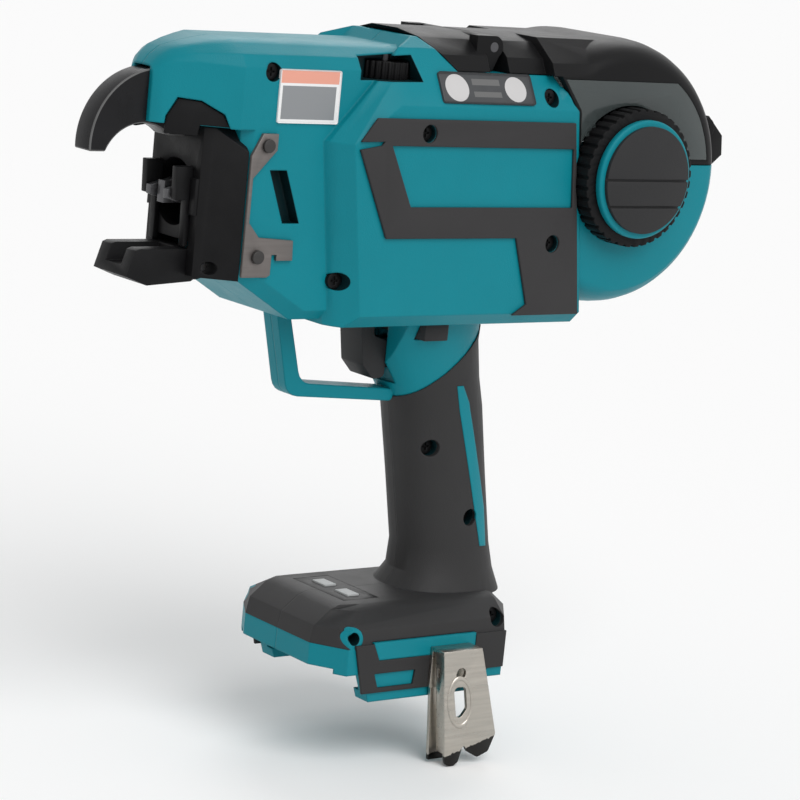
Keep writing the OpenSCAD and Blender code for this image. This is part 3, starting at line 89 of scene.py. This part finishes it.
room_light = 0.5
white_light = 1
world = bpy.data.worlds.new("studio")
bpy.context.scene.world = world
world.use_nodes = True
air = world.node_tree
air.nodes.clear()
rays = air.nodes.new("ShaderNodeLightPath")
seen = air.nodes.new("ShaderNodeMath")
seen.operation = "MAXIMUM"
seen_too = air.nodes.new("ShaderNodeMath")
seen_too.operation = "MAXIMUM"
room = air.nodes.new("ShaderNodeBackground")
room.inputs["Color"].default_value = (1, 1, 1, 1)
room.inputs["Strength"].default_value = room_light
white = air.nodes.new("ShaderNodeBackground")
white.inputs["Color"].default_value = (1, 1, 1, 1)
white.inputs["Strength"].default_value = white_light
either = air.nodes.new("ShaderNodeMixShader")
sky = air.nodes.new("ShaderNodeOutputWorld")
air.links.new(rays.outputs["Is Camera Ray"], seen.inputs[0])
air.links.new(rays.outputs["Is Glossy Ray"], seen.inputs[1])
air.links.new(seen.outputs[0], seen_too.inputs[0])
air.links.new(rays.outputs["Is Transmission Ray"], seen_too.inputs[1])
air.links.new(seen_too.outputs[0], either.inputs["Fac"])
air.links.new(room.outputs[0], either.inputs[1])
air.links.new(white.outputs[0], either.inputs[2])
air.links.new(either.outputs[0], sky.inputs["Surface"])

floor_size = 60
floor_z = cad_low.z - 0.2 * mm
bpy.ops.object.select_all(action="DESELECT")
bpy.ops.mesh.primitive_plane_add(size=floor_size, location=(0, 0, floor_z))
floor = bpy.context.object
floor.name = "floor"
paper = bpy.data.materials.new("white_paper")
paper.use_nodes = True
paper_shader = paper.node_tree.nodes["Principled BSDF"]
paper_shader.inputs["Base Color"].default_value = (0.97, 0.97, 0.97, 1)
paper_shader.inputs["Roughness"].default_value = 0.9
paper_shader.inputs["Specular IOR Level"].default_value = 0
floor.data.materials.append(paper)


# Housing halves: glass-filled nylon mouldings in sea green, fine spark texture in the mould,
# screwed together along the middle, the seam left as a hairline.
nodes = frame["nodes"]
behaviour = frame["record"]["behaviour"]
body_of = {node: body for body, held in behaviour["bodies"].items() for node in held}


class Socket:
    """A shader socket that takes part in sums as a number does."""

    def __init__(self, paint, socket):
        self.paint = paint
        self.socket = socket

    def sum(self, operation, a, b):
        return self.paint.node("ShaderNodeMath", {"operation": operation}, {0: a, 1: b})

    def __add__(self, other):
        return self.sum("ADD", self, other)

    def __radd__(self, other):
        return self.sum("ADD", other, self)

    def __sub__(self, other):
        return self.sum("SUBTRACT", self, other)

    def __rsub__(self, other):
        return self.sum("SUBTRACT", other, self)

    def __mul__(self, other):
        return self.sum("MULTIPLY", self, other)

    def __rmul__(self, other):
        return self.sum("MULTIPLY", other, self)

    def __gt__(self, other):
        return self.sum("GREATER_THAN", self, other)

    def __lt__(self, other):
        return self.sum("LESS_THAN", self, other)


class Paint:
    """A procedural material on the piece's own Object coordinates."""

    def __init__(self, name, **shader):
        self.material = bpy.data.materials.new(name)
        self.material.use_nodes = True
        self.tree = self.material.node_tree
        self.shader = self.tree.nodes["Principled BSDF"]
        for key, value in shader.items():
            self.shader.inputs[key.replace("_", " ").replace("ior", "IOR")].default_value = value
        place = self.tree.nodes.new("ShaderNodeTexCoord")
        self.place = Socket(self, place.outputs["Object"])

    def feed(self, socket, value):
        if isinstance(value, Socket):
            self.tree.links.new(value.socket, socket)
        else:
            socket.default_value = value

    def node(self, kind, settings, inputs, out=0):
        made = self.tree.nodes.new(kind)
        for key, value in settings.items():
            setattr(made, key, value)
        for key, value in inputs.items():
            self.feed(made.inputs[key], value)
        return Socket(self, made.outputs[out])

    def noise(self, scale, detail=2):
        inputs = {"Vector": self.place, "Scale": scale, "Detail": detail}
        return self.node("ShaderNodeTexNoise", {}, inputs)

    def mix(self, share, one, other):
        inputs = {0: share, 6: one, 7: other}
        return self.node("ShaderNodeMix", {"data_type": "RGBA"}, inputs, out=2)

    def axis(self, name):
        return self.node("ShaderNodeSeparateXYZ", {}, {0: self.place}, name)

    def bump(self, height, distance, strength, edge):
        inputs = {"Height": height, "Distance": distance, "Strength": strength}
        inputs["Normal"] = self.node("ShaderNodeBevel", {"samples": 6}, {"Radius": edge})
        self.feed(self.shader.inputs["Normal"], self.node("ShaderNodeBump", {}, inputs))

    def give(self, **sockets):
        for key, value in sockets.items():
            self.feed(self.shader.inputs[key.replace("_", " ")], value)


def shade(colour, factor):
    return (colour[0] * factor, colour[1] * factor, colour[2] * factor, 1)


def moulded(name, colour, rough, grain, edge, gloss=0.25, deep=""):
    """Moulded plastic: cloudy pigment, spark texture, a slightly rubbed gloss and, by a face
    attribute, painted shade that turns its deep recesses nearly black."""
    painted_shade_black = (0.003, 0.004, 0.004, 1)
    lift = 0.3 * mm
    paint = Paint(name, Specular_ior_Level=gloss)
    cloud = paint.noise(40)
    rubbed_and_highlight = paint.noise(90, 4)
    pigment = paint.mix(cloud, shade(colour, 0.93), shade(colour, 1.07))
    # Painted shade: faces marked by the attribute are mixed almost wholly to near black.
    if deep:
        shade_mark = paint.node("ShaderNodeAttribute", {"attribute_name": deep}, {}, "Fac")
        pigment = paint.mix(shade_mark * 0.93, pigment, painted_shade_black)
    paint.give(Base_Color=pigment, Roughness=rubbed_and_highlight * 0.16 + (rough - 0.08))
    paint.bump(paint.noise(grain, 2), lift, 0.25, edge)
    return paint


def dress(piece, paint):
    piece.data.materials.clear()
    piece.data.materials.append(paint.material)


def merged(node, name):
    """A copy of a CAD node's mesh with its points merged and its flat faces whole."""
    bpy.ops.object.select_all(action="DESELECT")
    piece = bpy.data.objects.new(name, nodes[node].data.copy())
    bpy.context.scene.collection.objects.link(piece)
    piece.select_set(True)
    bpy.context.view_layer.objects.active = piece
    bpy.ops.mesh.customdata_custom_splitnormals_clear()
    bpy.ops.object.mode_set(mode="EDIT")
    bpy.ops.mesh.select_all(action="SELECT")
    bpy.ops.mesh.remove_doubles(threshold=0.002 * mm)
    bpy.ops.mesh.dissolve_limited(angle_limit=math.radians(0.3))
    bpy.ops.object.mode_set(mode="OBJECT")
    return piece


def finished(node, paint, edge=0.0, smooth=30, steps=2, rubbed_and_highlight=None):
    """A merged copy of a CAD node with its edges broken, and a painted highlight in a second
    material on the broken edges where one is given, standing in for the node."""
    sharp = 28
    piece = merged(node, node + "_finished")
    dress(piece, paint)
    if rubbed_and_highlight:
        piece.data.materials.append(rubbed_and_highlight.material)
    if edge:
        worn = piece.modifiers.new("edge", "BEVEL")
        worn.width = edge * mm
        worn.segments = steps
        worn.limit_method = "ANGLE"
        worn.angle_limit = math.radians(sharp)
        # Painted highlight: the bevel's faces take the second, lighter material.
        if rubbed_and_highlight:
            worn.material = 1
        bpy.ops.object.modifier_apply(modifier="edge")
    bpy.ops.object.shade_smooth_by_angle(angle=math.radians(smooth))
    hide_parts(node)
    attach(piece, body_of[node])
    return piece


sea_green = (0.002, 0.196, 0.243)
shell = moulded("sea_green_shell", sea_green, 0.4, 1800, 1.2 * mm, gloss=0.16, deep="recess")
well_r = 3.9
wells = [(-98.0, 238.2), (-61.9, 158.2), (-28.9, 217.5), (34.3, 232.6), (39.6, 173.7),
         (7.0, 84.5), (29.9, 54.2), (34.3, 15.5), (-40.0, 13.0)]
bays = [((-57.6, -34.0, 235.9), (-26.0, -5.0, 247.4)),
        ((-99.0, -28.01, 179.0), (-78.0, -20.0, 206.0)),
        ((-99.0, 20.0, 179.0), (-78.0, 28.01, 206.0))]


def in_recess(points):
    """Whether a face lies wholly in a screw well, the lanyard eye, the dial's bay or a vent slot."""
    for x, z in wells:
        if all(math.hypot(p.x / mm - x, p.z / mm - z) < well_r for p in points):
            return True
    for low, high in bays:
        if all(a <= v / mm <= b for p in points for a, v, b in zip(low, p, high)):
            return True
    return False


def carve(piece, centre, size, operation, smooth, turn=0.0, skew=0.0):
    """Take a box out of a finished piece, or add one to it, as one closed mesh. The box is turned
    about the vertical and its top is pushed along X."""
    bpy.ops.object.select_all(action="DESELECT")
    bpy.ops.mesh.primitive_cube_add(size=1)
    box = bpy.context.object
    box.scale = [v * mm for v in size]
    box.rotation_euler.z = math.radians(turn)
    box.location = [v * mm for v in centre]
    bpy.ops.object.transform_apply(location=True, rotation=True, scale=True)
    for corner in box.data.vertices:
        if corner.co.z > centre[2] * mm:
            corner.co.x += skew * mm
    bpy.ops.object.select_all(action="DESELECT")
    piece.select_set(True)
    bpy.context.view_layer.objects.active = piece
    carved = piece.modifiers.new("carved", "BOOLEAN")
    carved.operation = operation
    carved.solver = "EXACT"
    carved.object = box
    bpy.ops.object.modifier_apply(modifier="carved")
    bpy.ops.object.shade_smooth_by_angle(angle=math.radians(smooth))
    bpy.data.objects.remove(box)


def on_flank(point, flank):
    return (point[0], flank * point[1], point[2])


shell_smooth = 24
beside_trigger = (-38, 23.5, 125.975)
flare_size = (44, 33, 27.95)
vent_centre = (-84.0, 25.2, 190.65)
vent_size = (7.9, 6.4, 20.5)
vent_skew = -7.9
rail_end = (42.35, 30.73, -4.235)
stop_size = (4.4, 1.6, 9.47)
stop_turn = -51.34
for half, flank in (("housing_left", -1), ("housing_right", 1)):
    piece = finished(half, shell, smooth=shell_smooth)
    carve(piece, on_flank(beside_trigger, flank), flare_size, "DIFFERENCE", shell_smooth)
    carve(piece, on_flank(vent_centre, flank), vent_size, "DIFFERENCE", shell_smooth, skew=vent_skew)
    carve(piece, on_flank(rail_end, flank), stop_size, "UNION", shell_smooth, flank * stop_turn)
    # Faces wholly inside a screw well, the lanyard eye, the dial's bay or a vent slot are marked for
    # painted shade.
    shade_marks = piece.data.attributes.new("recess", "FLOAT", "FACE")
    for face in piece.data.polygons:
        corners = [piece.data.vertices[v].co for v in face.vertices]
        shade_marks.data[face.index].value = in_recess(corners)

# Overmould: soft charcoal elastomer moulded over the grip and the foot, and two pads on the
# body's sides, matt with a fine leather-like stipple.
grip_black = (0.024, 0.0235, 0.024)
pad_black = (0.034, 0.033, 0.034)
stipple = 2600
rubber_smooth = 32
grip_rubber = moulded("grip_overmould", grip_black, 0.55, stipple, 0.8 * mm, gloss=0.24)
pad_rubber = moulded("pad_overmould", pad_black, 0.62, stipple, 0.8 * mm, gloss=0.18)
for half in ("grip_left", "grip_right"):
    finished(half, grip_rubber, smooth=rubber_smooth)
for half in ("side_pad_left", "side_pad_right"):
    finished(half, pad_rubber, edge=0.45, steps=3)

# Grip stripes: the shell shows through the overmould in a narrow leaning band on each flank, a
# rib of the housing moulded flush with the rubber.
stripe_cuts = [((18.1, 101.2), (0.952, 0.306)), ((23.3, 103.5), (-0.945, -0.327)),
               ((39.2, 57.5), (-0.986, -0.166)), ((18.7, 110.7), (-0.843, -0.539)),
               ((16.8, 111.0), (0, -1)), ((38.8, 41.0), (0.1, 0.99))]
rib_t = 0.8
flank_y = 9
facing = 0.1
walls = [((x * mm, 0, z * mm), (nx, 0, nz)) for (x, z), (nx, nz) in stripe_cuts]
for half, flank in (("grip_left", -1), ("grip_right", 1)):
    piece = merged(half, half + "_stripe")
    bpy.ops.object.mode_set(mode="EDIT")
    for where, way in walls + [((0, flank * flank_y * mm, 0), (0, flank, 0))]:
        bpy.ops.mesh.select_all(action="SELECT")
        bpy.ops.mesh.bisect(plane_co=where, plane_no=way, clear_inner=True)
    bpy.ops.object.mode_set(mode="OBJECT")
    for face in piece.data.polygons:
        face.select = face.normal.y * flank < facing
    bpy.ops.object.mode_set(mode="EDIT")
    bpy.ops.mesh.select_mode(type="FACE")
    bpy.ops.mesh.delete(type="FACE")
    bpy.ops.object.mode_set(mode="OBJECT")
    rib = piece.modifiers.new("rib", "SOLIDIFY")
    rib.thickness = rib_t * mm
    rib.offset = -0.5
    bpy.ops.object.modifier_apply(modifier="rib")
    bpy.ops.object.shade_smooth_by_angle(angle=math.radians(rubber_smooth))
    dress(piece, shell)
    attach(piece, body_of[half])


# Nose: hardened steel blanks, blackened and oiled. The wire guide is polished by the wire to a
# smoother skin than the jaw and the plates keep, with a painted highlight in lighter grey on the
# broken edges of its curve.
def blackened(name, colour, rough, edge):
    paint = Paint(name, Metallic=0.1, Specular_ior_Level=0.14)
    worn = paint.noise(120, 5)
    paint.give(
        Base_Color=paint.mix(worn, shade(colour, 0.7), shade(colour, 1.5)),
        Roughness=paint.noise(260, 4) * 0.25 + (rough - 0.12))
    paint.bump(paint.noise(1500, 3), 0.2 * mm, 0.2, edge)
    return paint


oxide_black = (0.006, 0.006, 0.0065)
oiled_black = (0.01, 0.01, 0.011)
highlight_grey = (0.1, 0.1, 0.1)
black_oxide = blackened("black_oxide", oxide_black, 0.45, 0.4 * mm)
for node in ("guard_plate", "face_plate", "contact_plates", "lower_jaw"):
    finished(node, black_oxide, edge=0.35)
guide_skin = blackened("guide_skin", oiled_black, 0.3, 0.4 * mm)
# Painted highlight: a lighter grey for the broken edges of the wire guide.
painted_highlight_edge = blackened("painted_edge_highlight", highlight_grey, 0.35, 0.2 * mm)
finished("curl_guide", guide_skin, edge=0.6, steps=3, rubbed_and_highlight=painted_highlight_edge)


# Side plates: burnished spring steel blanks with a notch in the lower lobe, one on each flank
# of the head, each held by two small blackened screws.
def metal(name, colour, rough, scale, metallic=1.0):
    """Metal with fine lines drawn along X."""
    along = (0.06, 1, 1)
    edge = 0.3 * mm
    paint = Paint(name, Metallic=metallic)
    drawn = paint.node("ShaderNodeVectorMath", {"operation": "MULTIPLY"}, {0: paint.place, 1: along})
    lines = paint.node("ShaderNodeTexNoise", {}, {"Vector": drawn, "Scale": scale, "Detail": 3})
    paint.give(
        Base_Color=paint.mix(lines, shade(colour, 0.8), shade(colour, 1.2)),
        Roughness=lines * 0.2 + (rough - 0.1))
    paint.bump(lines, 0.1 * mm, 0.15, edge)
    return paint


screw_grey = (0.045, 0.043, 0.042)
plate_grey = (0.16, 0.145, 0.138)
metal_smooth = 30
notch_centre = (-91.4, 29, 159.2)
notch_size = (2.4, 6, 18.6)
below_tab = (-86, 29, 158.1)
below_tab_size = (12.8, 6, 16.2)
screw_steel = metal("screw_steel", screw_grey, 0.45, 900, metallic=0.6)
burnished = metal("burnished_steel", plate_grey, 0.5, 900, metallic=0.7)
for node, flank in (("side_plate_left", -1), ("side_plate_right", 1)):
    plate = finished(node, burnished, edge=0.3)
    carve(plate, on_flank(notch_centre, flank), notch_size, "DIFFERENCE", metal_smooth)
    carve(plate, on_flank(below_tab, flank), below_tab_size, "DIFFERENCE", metal_smooth)
finished("side_plate_screws", screw_steel, edge=0.25)

# Twister and drive: ground and hardened steel pieces, a sintered bronze bearing, an aluminium
# gear case and the wound stator of the motor.
bright_grey = (0.42, 0.42, 0.43)
hardened_grey = (0.09, 0.09, 0.095)
bronze_brown = (0.55, 0.36, 0.16)
copper_brown = (0.26, 0.12, 0.06)
ground = metal("ground_steel", bright_grey, 0.32, 1400)
dark_ground = metal("dark_ground_steel", hardened_grey, 0.38, 1400, metallic=0.8)
bronze = metal("sintered_bronze", bronze_brown, 0.4, 700)
cast = metal("cast_aluminium", bright_grey, 0.5, 500)
winding = metal("wound_stator", copper_brown, 0.5, 1800, metallic=0.5)
for node in ("twister_shaft", "side_hooks", "twister_sleeve"):
    finished(node, dark_ground, edge=0.3)
for paint, held in (
        (ground, ("jaw_pin", "planet_gear_1", "planet_gear_2", "planet_gear_3", "motor_rotor",
                  "rotor_bearings", "feed_roller_lower", "feed_roller_upper", "wire_guide",
                  "stopper_spindle", "reel_hub")),
        (dark_ground, ("cover_pin", "latch_pin", "dial_pin")),
        (bronze, ("sleeve_bearing", "feed_pinion", "terminal_blades")),
        (cast, ("gear_case", "feed_motor")),
        (winding, ("motor_stator",))):
    for node in held:
        dress(nodes[node], paint)

# Reel cover, hinge block, latch, stopper knob, trigger, lock and dial: black nylon with a
# slight sheen, the stopper's turning ring in the housing's colour.
nylon_black = (0.008, 0.008, 0.0085)
matt_black = (0.022, 0.022, 0.023)
cover_smooth = 26
nylon = moulded("black_nylon", nylon_black, 0.4, 2000, 0.5 * mm, gloss=0.1)
matt_nylon = moulded("matt_black_nylon", matt_black, 0.5, 1600, 0.5 * mm, gloss=0.2)
finished("reel_cover", nylon, smooth=cover_smooth)
finished("hinge_block", nylon, smooth=cover_smooth)
finished("cover_latch", nylon, edge=1.2, steps=3)
finished("knob_base", nylon, edge=0.3)
finished("knob_ring", shell, edge=0.8, steps=3)
finished("knob_cap", matt_nylon, edge=0.4)
finished("trigger", matt_nylon, edge=1.4, steps=3)
finished("lock_button", matt_nylon, edge=0.5)
finished("dial", nylon, edge=0.3)
for node in ("terminal_block", "trigger_switch"):
    dress(nodes[node], matt_nylon)

# Windows: smoked polycarbonate let flush into the cover's cheeks and bonded there, so that the
# user sees how much wire is left on the reel.
smoke_dark = (0.08, 0.1, 0.1, 1)
smoke_pale = (0.115, 0.138, 0.138, 1)
smoke = Paint("smoked_polycarbonate", Transmission_Weight=0.55, ior=1.5, Specular_ior_Level=0.35)
haze = smoke.noise(30, 3)
smoke.give(
    Base_Color=smoke.mix(haze, smoke_dark, smoke_pale),
    Roughness=haze * 0.1 + 0.12)
finished("cover_windows", smoke, edge=0.3)

# Foot controls: a black nylon panel snapped into the foot's top, with two grey silicone keys
# that press on the green board behind it.
key_grey = (0.42, 0.43, 0.43)
board_green = (0.02, 0.12, 0.05)
silicone = moulded("grey_silicone", key_grey, 0.55, 1500, 0.3 * mm)
mask = moulded("board_mask", board_green, 0.4, 600, 0.2 * mm)
finished("control_panel", nylon, edge=0.3)
for node in ("power_button", "mode_button"):
    finished(node, silicone, edge=0.25)
dress(nodes["control_board"], mask)

# Belt hook: pressed spring steel, nickel plated, with a bead round its slot and painted shade
# darkening its tips, held on the foot's left side by one machine screw.
nickel_grey = (0.45, 0.42, 0.375)
painted_shade_dark = (0.03, 0.029, 0.028, 1)
tip_slope = 0.26
tip_z = -38.1
leaf_centre = (5.5, -39.3, -24.6)
leaf_size = (7.4, 1.5, 33.2)
leaf_skew = -2.9
nickel = metal("nickel_plate", nickel_grey, 0.3, 700)
hook_nickel = metal("hook_nickel", nickel_grey, 0.3, 700)
bare_nickel = Socket(hook_nickel, hook_nickel.shader.inputs["Base Color"].links[0].from_socket)
ragged = hook_nickel.noise(800, 4) * (2.4 * mm)
# Painted shade: below a leaning, ragged height the hook's tips are coloured near black.
shaded_tips = (hook_nickel.axis("Z") - hook_nickel.axis("X") * tip_slope + ragged) < tip_z * mm
hook_nickel.give(Base_Color=hook_nickel.mix(shaded_tips, bare_nickel, painted_shade_dark))
hook = finished("belt_hook", hook_nickel, edge=0.45)
carve(hook, leaf_centre, leaf_size, "UNION", metal_smooth, skew=leaf_skew)
finished("hook_screw", nickel, edge=0.3)
bead_r = 7 * mm
bead_wire = 0.75 * mm
bead_oval = (0.86, 1.5, 0.9)
bead_lean = math.radians(12)
bead_place = (9.4 * mm, -47.3 * mm, -15.2 * mm)
bpy.ops.object.select_all(action="DESELECT")
bpy.ops.mesh.primitive_torus_add(
    major_radius=bead_r, minor_radius=bead_wire, major_segments=64, minor_segments=12)
bead = bpy.context.object
bead.name = "hook_bead"
bpy.ops.transform.resize(value=bead_oval)
bpy.ops.transform.rotate(value=math.radians(90), orient_axis="X", center_override=(0, 0, 0))
bpy.ops.transform.rotate(value=bead_lean, orient_axis="Y", center_override=(0, 0, 0))
bpy.ops.transform.translate(value=bead_place)
bpy.ops.object.transform_apply(location=True, rotation=True, scale=True)
bpy.ops.object.shade_smooth()
dress(bead, nickel)
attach(bead, "frame")


# Printed plates: thin polyester bonded to the left side, one on the facet above the pad and one
# on the head, both in plain fields of colour. A black slab near the bottom of each vent slot is
# partly painted shade and partly stands for the dark parts inside.
def slab(name, centre, size, paint, lean=0.0, skew=0.0, round_by=1.2, edge=0.08):
    """A thin slab with rounded corners, skewed in its own plane and leant about the X axis."""
    bpy.ops.object.select_all(action="DESELECT")
    bpy.ops.mesh.primitive_cube_add(size=1)
    piece = bpy.context.object
    piece.name = name
    bpy.ops.transform.resize(value=tuple(v * mm for v in size))
    bpy.ops.object.transform_apply(scale=True)
    for corner in piece.data.vertices:
        corner.select = corner.co.z > 0
    bpy.ops.object.mode_set(mode="EDIT")
    bpy.ops.mesh.select_mode(type="VERT")
    bpy.ops.transform.translate(value=(skew * mm, 0, 0))
    bpy.ops.object.mode_set(mode="OBJECT")
    for rim in piece.data.edges:
        a, b = (piece.data.vertices[v].co for v in rim.vertices)
        rim.select = abs(a.y - b.y) > 0.4 * size[1] * mm
    bpy.ops.object.mode_set(mode="EDIT")
    bpy.ops.mesh.select_mode(type="EDGE")
    bpy.ops.mesh.bevel(offset=round_by * mm, segments=4)
    bpy.ops.object.mode_set(mode="OBJECT")
    rim = piece.modifiers.new("rim", "BEVEL")
    rim.width = edge * mm
    rim.segments = 2
    bpy.ops.object.modifier_apply(modifier="rim")
    bpy.ops.transform.rotate(value=math.radians(lean), orient_axis="X", center_override=(0, 0, 0))
    bpy.ops.transform.translate(value=tuple(v * mm for v in centre))
    bpy.ops.object.transform_apply(location=True, rotation=True, scale=True)
    bpy.ops.object.shade_smooth_by_angle(angle=math.radians(30))
    dress(piece, paint)
    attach(piece, "frame")


def between(axis, low, high):
    return (axis > low * mm) * (axis < high * mm)


facet_dark = (0.05, 0.052, 0.055, 1)
facet_pale = (0.062, 0.064, 0.068, 1)
bar_grey = (0.13, 0.13, 0.13, 1)
disc_grey = (0.55, 0.54, 0.54, 1)
disc_z = 235.4
disc_flatten = 1.15
facet_centre = (4, -34.15, 235.25)
facet_size = (47, 0.5, 13.2)
facet_lean = 29.4
facet_skew = -3
plate_ink = Paint("facet_plate_print", Roughness=0.45, Specular_ior_Level=0.25)
plate_x = plate_ink.axis("X")
plate_z = plate_ink.axis("Z")
facet_tone = plate_ink.mix(plate_ink.noise(300, 3), facet_dark, facet_pale)
bars = between(plate_x, -6, 8) * (between(plate_z, 232.2, 234.2) + between(plate_z, 236.6, 238.9))
facet_tone = plate_ink.mix(bars, facet_tone, bar_grey)
for disc_x, disc_r in ((-14.0, 5.8), (15.8, 5.4)):
    across = plate_x - disc_x * mm
    up = (plate_z - disc_z * mm) * disc_flatten
    disc = (across * across + up * up) < (disc_r * mm) ** 2
    facet_tone = plate_ink.mix(disc, facet_tone, disc_grey)
plate_ink.give(Base_Color=facet_tone)
slab("facet_plate", facet_centre, facet_size, plate_ink, lean=facet_lean, skew=facet_skew)

card_dull = (0.74, 0.74, 0.74, 1)
card_white = (0.8, 0.8, 0.8, 1)
field_grey = (0.24, 0.25, 0.26, 1)
band_coral = (0.72, 0.33, 0.25, 1)
card_centre = (-80.8, -28.15, 229.4)
card_size = (28.6, 0.4, 20.6)
card_ink = Paint("head_plate_print", Roughness=0.4, Specular_ior_Level=0.25)
card_x = card_ink.axis("X")
card_z = card_ink.axis("Z")
border = card_ink.mix(card_ink.noise(300, 3), card_dull, card_white)
field = between(card_x, -93.5, -68.3) * between(card_z, 220.6, 233.4)
band = between(card_x, -94.4, -67.2) * between(card_z, 234.4, 239.2)
border = card_ink.mix(field, border, field_grey)
card_ink.give(Base_Color=card_ink.mix(band, border, band_coral))
slab("head_plate", card_centre, card_size, card_ink, round_by=0.9)

# Painted shade: a black slab near the bottom of each vent slot, standing also for the dark parts
# inside.
vent_dark_slab_centre = (-88.2, 22.8, 190.5)
vent_dark_slab_size = (4.6, 1.4, 19.4)
vent_dark_slab_skew = -7.6
for name, flank in (("vent_dark_slab_left", -1), ("vent_dark_slab_right", 1)):
    place = on_flank(vent_dark_slab_centre, flank)
    slab(name, place, vent_dark_slab_size, matt_nylon, skew=vent_dark_slab_skew, round_by=0.3, edge=0.2)

# Housing screws: blackened steel tapping screws with a cross recess, driven from the left at the
# bottom of deep wells into the right half's bosses.
finished("housing_screws", black_oxide, edge=0.25)
